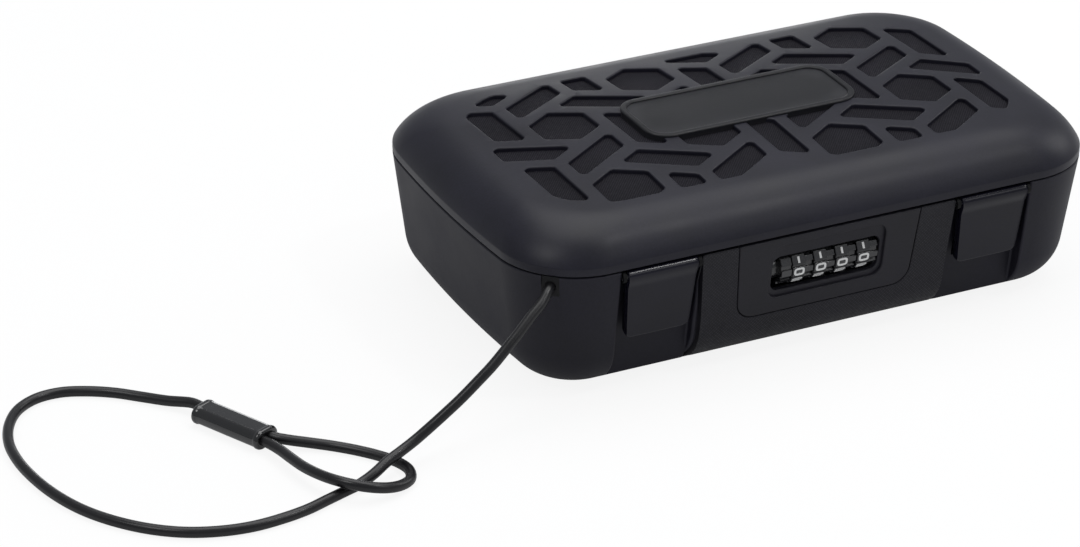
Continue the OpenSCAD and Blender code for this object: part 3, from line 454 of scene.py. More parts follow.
finish = {
    # the edge setting of each plastic paints its sharp edges paler: a painted highlight
    "lid": moulded("lid plastic", (0.0094, 0.009, 0.0158), 0.4, edgeHighlight=0.35),
    "tub": moulded("tub plastic", (0.0084, 0.0079, 0.0142), 0.55, edgeHighlight=0.35),
    "latch": moulded("latch plastic", (0.0052, 0.0048, 0.0104), 0.17, specular=0.29, edgeHighlight=0.2),
    "panel": moulded("lock panel plastic", (0.0114, 0.0108, 0.0154), 0.5, grain=1300, edgeHighlight=0.25),
    "wheel": moulded("wheel plastic", (0.011, 0.011, 0.012), 0.22, specular=0.75, grain=1500, bump=0.008,
                     edgeHighlight=0.3),
    "digit": moulded("digit paint", (0.78, 0.78, 0.76), 0.45, grain=2500, bump=0.01, tint=0.05),
    "skin": crossed("knurled skin", (0.0116, 0.011, 0.0166), 0.52, 1.0, 0.12, 45, "XZ"),
    "floor": crossed("woven pocket floor", (0.0125, 0.0118, 0.0158), 0.7, 0.8, 0.2, 40, "XY", 2.2, 0.1),
    "plate": moulded("plate plastic", (0.0075, 0.0075, 0.0094), 0.34, specular=0.24, edgeHighlight=0.6),
    "cable": moulded("cable sheath", (0.0075, 0.0072, 0.0082), 0.3, grain=1500, bump=0.006, tint=0.15,
                     cloud=80, specular=0.4),
    "ferrule": moulded("crimped sleeve", (0.0035, 0.0035, 0.004), 0.16, grain=1500, bump=0.005, tint=0.1,
                       specular=0.5, coat=0.6),
    "rubber": moulded("rubber", (0.01, 0.01, 0.0105), 0.75, grain=1200, bump=0.03, specular=0.3),
    # painted shade: the lid frame is painted near black so its ears beside the latches read as dark gaps in
    # shadow
    "frame": moulded("frame plastic in painted shade", (0.004, 0.004, 0.0046), 0.6, edgeHighlight=0.1, specular=0.15),
    "inner": moulded("inner plastic", (0.02, 0.02, 0.021), 0.55, edgeHighlight=0.2),
    "red": moulded("lever plastic", (0.32, 0.02, 0.015), 0.42, tint=0.12, bump=0.01),
    "steel": metal("drawn steel", (0.55, 0.56, 0.58), 0.32),
    "brass": metal("turned brass", (0.7, 0.5, 0.22), 0.3),
    "foam": foamed("grey foam", (0.05, 0.05, 0.055)),
}
print("finishes made")

# cable

cable = {"diameter": 3.8, "lie": 1.95, "notchAngle": 48.0, "notchLow": 4, "notchRun": (24, 27, 30),
         "sides": 24, "step": 1.4}
# the end is a rolled lip: places along the sleeve and the radius there, the same from both ends
sleeve = {"length": 31.0, "r": 3.6, "lie": 0.05, "strand": 2.1, "at": (-222.3, -21.0), "turn": -64.2,
          "ringStrand": (-6, -1, 15.5, 32), "loopStrand": (32, 7.75),
          "end": [(0.0, 1.95), (0.0, 2.9), (0.35, 3.35), (0.9, 3.6), (1.7, 3.6), (2.1, 3.42), (2.5, 3.3),
                  (4, 3.28)], "middleR": 3.3}
# points that the cable lies on in its ring and in its own loop: x, y, and height in diameters
ringRun = [(-112.8, -67, 10.9), (-118.2, -69.4, 10.1), (-124, -71.9, 9.1), (-130, -74.2, 8.1), (-136, -76, 7),
           (-142.5, -77.4, 5.9), (-149, -78.4, 4.75), (-155.5, -79, 3.65), (-161.5, -79.6, 2.7),
           (-167.5, -80.6, 1.9), (-174, -82.4, 1.35), (-180, -84.8, 1.05), (-185.5, -87.2, 0.6),
           (-191.5, -88.8, 0.15), (-198, -90.4, 0), (-205.5, -93, 0), (-214, -95.9, 0), (-224, -97.7, 0),
           (-234.5, -98.2, 0), (-245, -96.5, 0), (-256, -92.2, 0), (-266, -85.1, 0), (-275, -75.2, 0),
           (-281.8, -64.2, 0), (-286.6, -51.6, 0), (-289.5, -38.2, 0), (-290.6, -24, 0), (-289.3, -10.8, 0),
           (-285, 1, 0), (-278.4, 9.9, 0), (-270, 14.6, 0), (-261, 15, 0), (-252.5, 11.9, 0), (-244, 6.6, 0),
           (-236.4, -0.2, 0), (-229.6, -7.6, 0.15)]
loopRun = [(-202.6, -52.2, 0.35), (-196.4, -56.2, 0.2), (-189.6, -60.8, 0.05), (-183, -67, 0),
           (-177.4, -74, 0), (-173.6, -80.6, 0), (-172.4, -86.6, 0), (-174.4, -92.2, 0), (-179, -95.6, 0.15),
           (-185, -97.4, 0.5), (-191.4, -96.8, 0.9), (-197, -93.4, 1.12), (-201.2, -88, 1.12),
           (-204, -81.2, 0.95), (-206, -73.4, 0.75), (-207.2, -65.2, 0.6), (-208.2, -58, 0.5)]


def cableRoute():
    # out of the notch, round the ring, through the sleeve, round the loop and back into the sleeve
    a, t = math.radians(cable["notchAngle"]), math.radians(sleeve["turn"])
    out = [[-cornerX - s * math.cos(a), -cornerY - s * math.sin(a), case["rim"] - cable["notchLow"]]
           for s in cable["notchRun"]]

    def lying(rows):
        # resting height plus so many diameters
        return [[x, y, cable["lie"] + k * cable["diameter"]] for x, y, k in rows]

    def inSleeve(s, side):
        # s along the sleeve from its end, and half the strands' distance to one side
        x, y, off = *sleeve["at"], side * sleeve["strand"]
        return [x + s * math.cos(t) - off * math.sin(t), y + s * math.sin(t) + off * math.cos(t),
                sleeve["r"] + sleeve["lie"]]
    out += lying(ringRun) + [inSleeve(s, 1) for s in sleeve["ringStrand"]]
    out += lying(loopRun) + [inSleeve(s, -1) for s in sleeve["loopStrand"]]
    return inCase(out)


def smoothPath(points, step):
    # curve through the points: each span a cubic with its end slopes from the neighbours, then even steps
    p = np.vstack([2 * points[0] - points[1], points, 2 * points[-1] - points[-2]])
    gaps = np.sqrt(np.linalg.norm(np.diff(p, axis=0), axis=1))
    t = np.linspace(0, 1, 12, endpoint=False)[None, :, None]
    p0, p1, p2, p3 = p[:-3, None], p[1:-2, None], p[2:-1, None], p[3:, None]
    d0, d1, d2 = (g[:, None, None] for g in (gaps[:-2], gaps[1:-1], gaps[2:]))
    m1 = (p1 - p0) / d0 - (p2 - p0) / (d0 + d1) + (p2 - p1) / d1
    m2 = (p2 - p1) / d1 - (p3 - p1) / (d1 + d2) + (p3 - p2) / d2
    m1, m2 = m1 * d1, m2 * d1
    curve = (2 * p1 - 2 * p2 + m1 + m2) * t ** 3 + (-3 * p1 + 3 * p2 - 2 * m1 - m2) * t ** 2 + m1 * t + p1
    curve = np.vstack([curve.reshape(-1, 3), points[-1:]])
    run = np.concatenate([[0], np.cumsum(np.linalg.norm(np.diff(curve, axis=0), axis=1))])
    at = np.linspace(0, run[-1], int(run[-1] / step) + 1)
    return np.stack([np.interp(at, run, curve[:, k]) for k in range(3)], -1), run[-1]


def sweptTube(path, r, sides):
    # ring of constant radius carried along the path, its sideways direction kept level
    way = np.gradient(path, axis=0)
    way /= np.linalg.norm(way, axis=1)[:, None]
    side = np.cross(way, [0, 0, 1.0])
    side /= np.linalg.norm(side, axis=1)[:, None]
    up = np.cross(side, way)
    a = np.linspace(0, 2 * math.pi, sides, endpoint=False)[None, :, None]
    return gridSolid(path[:, None] + r * (np.cos(a) * side[:, None] + np.sin(a) * up[:, None]))


def ovalRing(x, r):
    # two half circles of radius r, one round each strand, joined by flats, x along the sleeve
    a, t = np.radians(np.linspace(-90, 90, 17)), math.radians(sleeve["turn"])
    y = sleeve["strand"] + r * np.cos(a)
    flat = np.stack([np.full(2 * len(a), x), np.concatenate([y, -y])], -1)
    flat = flat @ np.array([[math.cos(t), math.sin(t)], [-math.sin(t), math.cos(t)]]) + sleeve["at"]
    z = np.concatenate([r * np.sin(a), -r * np.sin(a)]) + sleeve["r"] + sleeve["lie"]
    return inCase(np.column_stack([flat, z]))


def makeCable():
    # round tube along the route, and the crimped sleeve round its two strands
    route = cableRoute()
    path, length = smoothPath(route, cable["step"])
    tube = sweptTube(path, cable["diameter"] / 2, cable["sides"])
    line = buildPiece("cable_line", [tube], finish["cable"], 60)
    fitPiece(line, "tub", "cable", "cable")
    end, long = sleeve["end"], sleeve["length"]
    steps = end + [(long / 2, sleeve["middleR"])] + [(long - x, r) for x, r in end[::-1]]
    body = buildPiece("cable_ferrule", [gridSolid([ovalRing(x, r) for x, r in steps])], finish["ferrule"], 50)
    fitPiece(body, "tub", "cable_sleeve", "cable_sleeve")
    print("cable", round(length, 1), "mm long")


makeCable()

# tub

tub = {"channelX": 67.75, "channelW": 31.5, "channelDeep": 5.5, "channelBack": 2.6, "skinT": 1.8,
       "skinGap": 0.1, "edgeR": 1.1, "innerR": 0.9, "innerRound": 0.4, "cornerSteps": 22, "endSteps": 12,
       "notchW": 6.6, "notchDeep": 7.5, "notchUp": 2.5, "notchR": 2.6, "notchX": (21.0, 35.0),
       "slotX": 58.55, "slotHalf": 1.9, "slotY": (4.5, 10.1), "slotZ": (-29.0, 1.0)}
hinge = {"x": 58.0, "length": 30.0, "knuckleR": 3.35, "out": 0.5, "leafT": 1.6, "leafLow": 15.0,
         "leafHigh": 0.6, "clear": 0.3}
lock = {"width": 74.0, "height": 32.0, "thick": 3.0, "lowR": 7.0, "taper": 2.0, "frameL": 47.0,
        "frameH": 22.0, "frameR": 4.5, "frameUp": 1.6, "windowL": 43.8, "windowH": 14.4, "windowR": 3.2,
        "sunk": 1.2, "edgeR": 0.4, "frameEdgeR": 0.45, "windowEdgeR": 0.35, "lap": 0.3}


def planRing(inset, cornerR, n, ends, front=None, straight=1):
    # level outline at one inset: four tangent corners, bowed ends, a straight back, and the given front line
    y = halfD - inset - cornerR
    x = endC + math.sqrt((case["endR"] - inset - cornerR) ** 2 - y * y)
    a = math.degrees(math.asin(y / (case["endR"] - inset - cornerR)))
    t = np.linspace(0, 1, straight + 1)[1:-1]
    backLine = np.stack([x - 2 * x * t, np.full(len(t), y + cornerR)], -1)
    if front is None:
        front = -backLine
    leftEnd = arc(-endC, 0, case["endR"] - inset, 180 - a, 180 + a, ends)[1:-1]
    rightEnd = arc(endC, 0, case["endR"] - inset, -a, a, ends)[1:-1]
    return np.concatenate([arc(x, y, cornerR, a, 90, n), backLine, arc(-x, y, cornerR, 90, 180 - a, n),
                           leftEnd, arc(-x, -y, cornerR, 180 + a, 270, n), front,
                           arc(x, -y, cornerR, 270, 360 - a, n), rightEnd])


def dentLine(y0, deep, mid, half):
    # front line with a rounded dent for each latch: the depth steps down and up again, two arcs to each step
    centre, rOut, rIn = tub["channelX"], tub["edgeR"], tub["innerR"]
    a = np.radians(np.linspace(0, 90, 6))

    def step(x, fromDepth, toDepth):
        # outer and inner quarter arcs, both flattened alike where the step is lower than their radii
        high, low = min(fromDepth, toDepth), max(fromDepth, toDepth)
        k = min(1.0, (low - high) / (rOut + rIn))
        side = 1 if toDepth >= fromDepth else -1
        outX, outY = x - side * (rOut - rOut * np.sin(a) + 0.02), high + k * (rOut - rOut * np.cos(a))
        inX, inY = x + side * (rIn - rIn * np.cos(a) + 0.02), low - k * (rIn - rIn * np.sin(a))
        return np.column_stack([np.concatenate([outX, inX]), np.concatenate([outY, inY])])[::side]
    steps = [(-centre - half, 0, deep), (-centre + half, deep, mid),
             (centre - half, mid, deep), (centre + half, deep, 0)]
    return np.concatenate([step(*s) for s in steps]) + [0, y0]


def wallInset(z):
    # how far the leaning wall lies in from the rim's outline at one height
    return (case["rim"] - z) * tanL


def tubRings():
    # rings from the middle of the underside, round the belly, up the wall, over the rim and down to the floor
    half, back, soft = tub["channelW"] / 2, tub["channelBack"], tub["innerRound"]
    rim, r, wallIn = case["rim"], case["bellyR"], case["wall"] / cosL
    seat, deepOut = (tub["skinT"] + tub["skinGap"]) / cosL, tub["channelDeep"] / cosL
    deepIn = (tub["channelDeep"] + back) / cosL
    rings = []

    def ring(inset, z, deep, mid, wide=0.0):
        # level ring with its dents, the corners' radius less by the inset so that all share their centres
        line = dentLine(-halfD + inset, deep, mid, half + wide)
        flat = planRing(inset, case["cornerR"] - inset, tub["cornerSteps"], tub["endSteps"], line, 12)
        rings.append(inCase(atHeight(flat, z)))

    def seatDepth(inset, z):
        # the skin's seat: even down the wall, then round the belly at a smaller radius until it runs out
        rSeat = r - tub["skinT"] - tub["skinGap"]
        if z > bellyZ - rSeat * sinL:
            return seat + wallInset(z) - inset
        if inset >= 20 or abs(z - bellyZ) >= rSeat - 0.01:
            return 0.0
        return float(np.clip(bellyIn - math.sqrt(rSeat ** 2 - (z - bellyZ) ** 2) - inset, 0, 2.4))
    for a in np.radians(np.linspace(-90, -case["lean"], 26)):
        inset, z = bellyIn - r * math.cos(a), bellyZ + r * math.sin(a)
        ring(inset, z, max(0.0, deepOut + wallInset(z) - inset), seatDepth(inset, z))
    top = rim - case["rimRound"]
    for z in np.linspace(bellyZ - r * sinL, top, 7)[1:]:
        ring(wallInset(z), z, deepOut, seat)
    for a in np.radians([22, 45, 67, 90]):
        ring(case["rimRound"] * (1 - math.cos(a)), top + case["rimRound"] * math.sin(a), deepOut, seat)
    for a in np.radians([0, 30, 60, 90]):
        ring(wallIn - soft + soft * math.sin(a), rim - soft + soft * math.cos(a), deepIn - wallIn, 0.0, back)
    rIn = r - case["wall"]
    for z in np.linspace(rim - soft, bellyZ - rIn * sinL, 6)[1:]:
        ring(wallIn + wallInset(z), z, deepIn - wallIn, 0.0, back)
    for a in np.radians(np.linspace(-case["lean"], -90, 14))[1:]:
        inset, z = bellyIn - rIn * math.cos(a), bellyZ + rIn * math.sin(a)
        ring(inset, z, max(0.0, deepIn + wallInset(z) - inset), 0.0, back)
    return rings


def lockLoop(g, top=0.0, n=8):
    # lock panel's outline on the leaning face: straight top, leaning sides, two large lower corners
    w, h = lock["width"] / 2, lock["height"]
    low, r = w - lock["taper"], lock["lowR"]
    return softLoop([[-low, -h], [low, -h], [w, top], [-w, top]], [r, r, 0.1, 0.1], g, n)


def leafBar(x, g):
    # the leaning bar that a hinge leaf fills, grown by g
    low, high = case["rim"] - hinge["leafLow"] - g, case["rim"] - hinge["leafHigh"] + 6 * g
    front, back = halfD - (hinge["leafT"] + g) / cosL, halfD + g / cosL
    section = np.array([[front - wallInset(low), low], [back - wallInset(low), low],
                        [back - wallInset(high), high], [front - wallInset(high), high]])
    half = hinge["length"] / 2 + g
    return gridSolid([inCase(np.column_stack([np.full(4, x + s * half), section])) for s in (-1, 1)])


def knuckleBar(x):
    # round bar along a hinge's axis, its ends broken by a hair's edge
    half, r, edge = hinge["length"] / 2 + hinge["clear"], hinge["knuckleR"], 0.02
    a = np.radians(np.linspace(0, 90, 5))
    end = np.stack([-half + edge - edge * np.cos(a), r - edge + edge * np.sin(a)], -1)
    pts, faces = lathe(np.concatenate([end, end[::-1] * [-1, 1]]))
    return inCase(pts + [x, halfD + hinge["out"], case["rim"] + case["gap"] / 2]), faces


def makeTub():
    # body through its rings, less the openings for the lock, the hooks, the cable and the hinges
    obj = buildPiece("tub_body", [gridSolid(tubRings())], finish["tub"])
    a = math.radians(cable["notchAngle"])

    def toNotch(p):
        # the notch's own frame, x out along the cable from the corner's centre
        x, y, z = p.T
        return inCase(np.stack([-cornerX - x * math.cos(a) + y * math.sin(a),
                                -cornerY - x * math.sin(a) - y * math.cos(a), z], -1))
    slotX, half, (y0, y1), (z0, z1) = tub["slotX"], tub["slotHalf"], tub["slotY"], tub["slotZ"]
    w, low, high = tub["notchW"] / 2, case["rim"] - tub["notchDeep"], case["rim"] + tub["notchUp"]
    notch = softLoop([[-w, low], [w, low], [w, high], [-w, high]], [tub["notchR"], tub["notchR"], 0.1, 0.1])
    # cuts: lock opening, slots for the hooks, cable notch, hinge leaves and hinge knuckles
    parts = [gridSolid([facePlace(lockLoop(0.2), t) for t in (-1.0, 4.0)])]
    parts += [boxPart((s * slotX - half, y0, z0), (s * slotX + half, y1, z1), onFront) for s in (-1, 1)]
    ends = [toNotch(np.column_stack([np.full(len(notch), x), notch])) for x in tub["notchX"]]
    parts.append(gridSolid(ends))
    parts += [leafBar(s * hinge["x"], 0.1) for s in (-1, 1)]
    knuckles = [knuckleBar(s * hinge["x"]) for s in (-1, 1)]
    cutWith(obj, [buildPiece("cut_a", parts, None), buildPiece("cut_b", knuckles, None)])
    fitPiece(obj, "tub", "shell", "base_shell")


makeTub()
print("tub made")

# front skin

skin = {"low": 55.5, "drop": 0.45, "gap": 0.22, "edgeR": 0.45, "topR": 1.3, "lowR": 1.5, "besideR": 0.6,
        "wider": 0.2}


def makeSkin():
    # skin follows the wall down and round the belly: s runs down the face, t goes in square to it
    length = (case["rim"] - (bellyZ - case["bellyR"] * sinL)) / cosL

    def place(p, t):
        s, r = -p[:, 1], case["bellyR"] - t
        turn = np.maximum(s - length, 0) / case["bellyR"] + lean
        y = np.where(s > length, -(halfD - bellyIn) - r * np.cos(turn), -halfD + t * cosL + s * sinL)
        z = np.where(s > length, bellyZ - r * np.sin(turn), case["rim"] + t * sinL - s * cosL)
        return inCase(np.stack([p[:, 0], y, z], -1))
    half, low, top = tub["channelX"] - tub["channelW"] / 2, -skin["low"], -skin["drop"]
    w, foot = lock["width"] / 2 + skin["gap"], -lock["height"] - skin["gap"]
    inner, cornerR = lock["width"] / 2 - lock["taper"] + skin["gap"], lock["lowR"] + skin["wider"]
    corners = [[-half, top], [-half, low], [half, low], [half, top],
               [w, top], [inner, foot], [-inner, foot], [-w, top]]
    radii = [skin["topR"], skin["lowR"], skin["lowR"], skin["topR"],
             skin["besideR"], cornerR, cornerR, skin["besideR"]]
    edge = edgeRings(skin["edgeR"], tub["skinT"])
    part = plateSolid(lambda g: softLoop(corners, radii, g), [], edge, [], place, 3.0)
    obj = buildPiece("front_skin", [part], finish["skin"])
    fitPiece(obj, "tub", "textured_skin", "front_bumper")


makeSkin()
print("front skin made")

# lid

lid = {"band": 3.0, "rise": 15.8, "shoulderR": 22.0, "crownR": 480.0, "coverT": 1.6, "cornerKeep": 0.25,
       "reliefY": (-5.6, 8.0), "reliefZ": (-3.0, 3.4)}
cell = {"border": 22.0, "borderY": 1.2, "shiftY": 3.6, "side": 16.1, "slant": 18.1, "rib": 5.6,
        "cornerR": 1.8, "edgeR": 0.6, "least": 6.0, "deep": 1.65, "floorT": 1.4, "floorIn": 18.6,
        "clear": 0.8}
plate = {"length": 87.0, "depth": 34.0, "cornerR": 9.0, "rim": 2.6, "raised": 0.9, "thick": 2.45,
         "edgeR": 0.7, "fieldUp": 0.2, "fieldLow": 1.5}
bandZ = case["rim"] + case["gap"] + lid["band"]
# the shoulder's circle touches the edge and the crown's circle: both centres as (inset, height over the band)
crownC = np.array([halfD, lid["rise"] - lid["crownR"]])
crownK = np.linalg.norm(crownC)
shoulderG = (crownK ** 2 + lid["shoulderR"] ** 2 - (lid["crownR"] - lid["shoulderR"]) ** 2) / 2 / crownK
shoulderH = math.sqrt(lid["shoulderR"] ** 2 - shoulderG ** 2)
shoulderC = (crownC * shoulderG + np.array([-crownC[1], crownC[0]]) * shoulderH) / crownK
jointA = math.degrees(math.atan2(shoulderC[1] - crownC[1], shoulderC[0] - crownC[0]))


def lidRadius(i):
    # corner radius at one inset: the rim's less a share of the inset, at most the half depth that is left
    return np.minimum(case["cornerR"] - lid["cornerKeep"] * i, halfD - i)


def lidRing(i, n=22, ends=14, straight=30):
    # level outline of the lid at one inset from its edge
    return planRing(i, float(lidRadius(i)), n, ends, None, straight)


def crownHeight(i):
    # height of the crown's circle at one inset: root of radius squared less distance from the middle squared
    return bandZ + crownC[1] + np.sqrt(lid["crownR"] ** 2 - (halfD - i) ** 2)


def lidInset(p):
    # inset of each point from the lid's edge, by halving on how far it lies inside the ring of a trial inset
    x, y = np.abs(p[:, 0]), np.abs(p[:, 1])
    lo, hi = np.zeros(len(x)), np.full(len(x), halfD - 0.5)
    for _ in range(26):
        i = (lo + hi) / 2
        r = lidRadius(i)
        cy = halfD - i - r
        cx = endC + np.sqrt((case["endR"] - i - r) ** 2 - cy * cy)
        onEnd = y * (cx - endC) < (x - endC) * cy
        inside = np.where(x <= cx, halfD - i - y, r - np.hypot(x - cx, y - cy))
        inside = np.where(onEnd, case["endR"] - i - np.hypot(x - endC, y), inside)
        lo, hi = np.where(inside > 0, i, lo), np.where(inside > 0, hi, i)
    return (lo + hi) / 2


def onCrown(p, t):
    # flat outline laid over the crown, t deep
    return inCase(np.column_stack([p, crownHeight(lidInset(p)) - t]))


def outwardOf(poly):
    # square outward direction of each side of an outline that turns left
    way = np.roll(poly, -1, 0) - poly
    return np.stack([way[:, 1], -way[:, 0]], -1) / np.linalg.norm(way, axis=1)[:, None]


def clipConvex(poly, line, out):
    # keeps the part of a convex outline behind one straight line with outward direction out
    if len(poly) < 3:
        return poly
    d, after = (poly - line) @ out, np.roll(poly, -1, 0)
    dAfter = np.roll(d, -1)
    crosses = d * dAfter < 0
    cut = poly + (after - poly) * (d / np.where(crosses, d - dAfter, 1.0))[:, None]
    return np.stack([poly, cut], 1).reshape(-1, 2)[np.stack([d <= 0, crosses], 1).ravel()]


def cellOutlines():
    # six-sided cells with three slanted cells round each, each kept as the outline of its corner centres
    side, slant, inset = cell["side"], cell["slant"], cell["rib"] / 2 + cell["cornerR"]
    tilt = math.degrees(math.atan(math.sqrt(3) * slant / (2 * side + slant))) - 30
    step = math.sqrt(3 * (side * side + side * slant + slant * slant))
    stepA, stepB = step * np.array([math.cos(math.pi / 6), 0.5]), step * np.array([0.0, -1.0])
    start = -(1.5 * stepA + stepB) - [0, cell["shiftY"]]
    border = lidRing(cell["border"] + cell["cornerR"], 10, 6, 4) - [0, cell["borderY"]]
    borderOut = outwardOf(border)
    coverX, coverY = plate["length"] / 2 - 3, plate["depth"] / 2 - 3

    def way(a):
        # unit direction at a degrees from the pattern's tilt
        return np.array([math.cos(math.radians(a + tilt)), math.sin(math.radians(a + tilt))])

    def twiceArea(poly):
        # sum of cross products of neighbouring corners, positive where the outline turns left
        after = np.roll(poly, -1, 0)
        return (poly[:, 0] * after[:, 1] - poly[:, 1] * after[:, 0]).sum()

    def cellsRound(c):
        # the six-sided cell at one lattice point and its three slanted neighbours
        yield np.array([c + side * way(60 * k + 30) for k in range(6)])
        for turn in (0, -60, -120):
            a, s, l = c + side * way(turn + 30), slant * way(turn - 30), (side + slant) * way(turn - 90)
            yield np.array([a, a + s, a + s + l, a + l])[::-1]
    found = []
    for m in range(-2, 6):
        for n in range(-3, 7):
            c = start + m * stepA + n * stepB
            if abs(c[0]) > 2 * halfD or abs(c[1]) > halfD + 2 * side:
                continue
            for poly in cellsRound(c):
                poly = poly if twiceArea(poly) > 0 else poly[::-1]
                outs = outwardOf(poly)
                for line, out in [*zip(poly - outs * inset, outs), *zip(border, borderOut)]:
                    poly = clipConvex(poly, line, out)
                if len(poly) < 3 or twiceArea(poly) <= 2 * cell["least"]:
                    continue
                if not ((np.abs(poly[:, 0]) < coverX) & (np.abs(poly[:, 1]) < coverY)).all():
                    found.append(poly)
    return found


def cellLoop(centres):
    # circle of one radius rolled round the corner centres, arcs at the corners and straight sides between
    centres = centres[np.linalg.norm(np.roll(centres, -1, 0) - centres, axis=1) > 0.05]
    d = np.roll(centres, -1, 0) - centres
    ahead = np.degrees(np.arctan2(-d[:, 0], d[:, 1]))
    before = np.roll(ahead, 1)
    sweep = (ahead - before) % 360
    turns = [b + s * np.linspace(0, 1, max(1, int(s / 14)) + 1) for b, s in zip(before, sweep)]
    at, a = np.repeat(np.arange(len(turns)), [len(t) for t in turns]), np.radians(np.concatenate(turns))
    return lambda g: centres[at] + (cell["cornerR"] + g) * np.stack([np.cos(a), np.sin(a)], -1)


def shoulderArc(r, first, last, n):
    # (inset, height) along the shoulder at radius r
    a = np.radians(np.linspace(first, last, n))
    return list(zip(shoulderC[0] + r * np.cos(a), bandZ + shoulderC[1] + r * np.sin(a)))


def makeCover():
    # profile as (inset, height), from the crown out over the shoulder and band and back along the inside;
    # it starts a little outside the cells
    t, r, zLow = lid["coverT"], lid["shoulderR"], case["rim"] + case["gap"]
    start = cell["border"] - cell["borderY"] - cell["edgeR"] - cell["clear"]
    joint = shoulderC[0] + r * math.cos(math.radians(jointA))
    outside = 180 - math.degrees(math.acos(shoulderC[0] / r))
    inside = 180 - math.degrees(math.acos((shoulderC[0] - t) / (r - t)))
    profile = [(i, float(crownHeight(i))) for i in np.linspace(start, joint, 5)[1:-1]]
    profile += shoulderArc(r, jointA, outside - 1.0, 22)
    profile += [(0.06, bandZ + 0.1), (0.0, bandZ - 0.25), (0.0, zLow + 0.5), (0.1, zLow + 0.2),
                (0.32, zLow + 0.02), (0.5, zLow), (t - 0.3, zLow), (t, zLow + 0.3), (t, bandZ - 0.4)]
    profile += shoulderArc(r - t, inside, jointA, 14)
    rings = [inCase(atHeight(lidRing(i), z)) for i, z in profile]
    cells = [cellLoop(outline) for outline in cellOutlines()]
    print("cells", len(cells))
    cellEdge = edgeRings(cell["edgeR"], t, sign=-1.0)
    shell = plateSolid(lambda g: lidRing(start), cells, [(0.0, 0.0), (0.0, t)], cellEdge, onCrown, 5.0, rings)
    obj = buildPiece("lid_shell", [shell], finish["lid"], 50)
    half = hinge["length"] / 2 + hinge["clear"]
    y0, y1 = [halfD + hinge["out"] + y for y in lid["reliefY"]]
    z0, z1 = [case["rim"] + case["gap"] / 2 + z for z in lid["reliefZ"]]
    reliefs = [boxPart((x - half, y0, z0), (x + half, y1, z1), inCase) for x in (-hinge["x"], hinge["x"])]
    cutWith(obj, [buildPiece("cut_c", reliefs, None)], 50)
    fitPiece(obj, "lid", "shell", "lid_cover")


def makePocketFloor():
    # one sheet under the cover that follows the crown
    depths = [(0.0, cell["deep"]), (0.0, cell["deep"] + cell["floorT"])]
    floor = plateSolid(lambda g: lidRing(cell["floorIn"] - g), [], depths, [], onCrown, 6.0)
    obj = buildPiece("pocket_floor", [floor], finish["floor"])
    fitPiece(obj, "lid", "lid_panel", "lid_panel")


def makeNamePlate():
    # bare name plate: raised rounded rim round a plain field
    l, w, r, rim = plate["length"], plate["depth"], plate["cornerR"], plate["rim"]
    outer, inner = rectLoop(l, w, r), rectLoop(l - 2 * rim, w - 2 * rim, r - rim)
    outEdge, inEdge = [edgeRings(plate["edgeR"], plate["thick"], sign=sign) for sign in (1.0, -1.0)]
    ring = plateSolid(divided(outer, 8), [divided(inner, 8)], outEdge, inEdge,
                      lambda p, t: onCrown(p, t - plate["raised"]), 30)
    depths = [(0.0, -plate["fieldUp"]), (0.0, plate["fieldLow"])]
    field = plateSolid(divided(lambda g: inner(g + 0.3), 8), [], depths, [], onCrown, 5.0)
    obj = buildPiece("name_plate_rim", [ring, field], finish["plate"])
    fitPiece(obj, "lid", "shell", "name_plate")


makeCover()
makePocketFloor()
makeNamePlate()
print("lid made")

# latches

latch = {"x": 67.75, "w": 27.3, "h": 26.0, "t": 2.8, "rollR": 2.4, "pinY": 1.1, "pinZ": -2.8, "face": -0.4,
         "rampZ": -7.4, "narrow": 1.4, "cornerR": 2.2, "lipR": 0.9, "endR": 0.45}


def latchProfile():
    # closed line of depth and height: over the roll from back to front, a soft step down to the face, and
    # round the lower edge
    r, y, z, low = latch["rollR"], latch["pinY"], latch["pinZ"], latch["pinZ"] - latch["h"]
    face, lip, rampZ = latch["face"], latch["lipR"], latch["rampZ"]
    back = face + latch["t"]
    meet = math.degrees(math.acos((back - y) / r))
    over = arc(y, z, r, -meet, 180, 34)
    down = np.linspace(z, rampZ, 12)[1:]
    t = (down - rampZ) / (z - rampZ)
    ramp = np.column_stack([face - (r - y + face) * (3 * t ** 2 - 2 * t ** 3), down])
    flat = np.column_stack([np.full(14, face), np.linspace(rampZ, low + lip, 15)[1:]])
    front = arc(face + lip, low + lip, lip, 180, 270, 7)[1:]
    rear = arc(back - lip, low + lip, lip, 270, 360, 7)
    up = np.column_stack([np.full(18, back), np.linspace(low + lip, over[0, 1], 20)[1:-1]])
    return np.concatenate([over, ramp, flat, front, rear, up])


def makeLatch(side, name, body, node):
    # the profile repeated across the width, drawn in at both ends, with its lower corners rounded
    line, half = latchProfile(), latch["w"] / 2
    way = np.roll(line, -1, 0) - np.roll(line, 1, 0)
    out = np.column_stack([-way[:, 1], way[:, 0]]) / np.linalg.norm(way, axis=1)[:, None]
    e, r, turn = latch["endR"], latch["cornerR"], np.radians(np.linspace(0, 90, 7))
    across = (half - e) * np.linspace(-1, 1, 25)[1:-1]
    x = np.concatenate([e - half - e * np.cos(turn), across, half - e + e * np.cos(turn[::-1])])[:, None]
    inset = np.concatenate([e * (1 - np.sin(turn)), 0 * across, e * (1 - np.sin(turn[::-1]))])
    p = line[None] - out[None] * inset[:, None, None]
    fall = np.clip((latch["pinZ"] - p[..., 1]) / latch["h"], 0, 1)
    beyond = np.clip(np.abs(x) - (half - r), 0, r)
    rise = (r - np.sqrt(r * r - beyond * beyond)) * np.clip((fall - 0.7) / 0.3, 0, 1) ** 2
    wide = x * (1 - fall * latch["narrow"] / half) + side * latch["x"]
    solid = gridSolid(onFront(np.stack([wide, p[..., 0], p[..., 1] + rise], -1)))
    obj = buildPiece(name, [solid], finish["latch"], 50)
    fitPiece(obj, body, "latches", node)


makeLatch(-1, "left_flap", "left_latch", "latch_left")
makeLatch(1, "right_flap", "right_latch", "latch_right")
print("latches made")

# lock

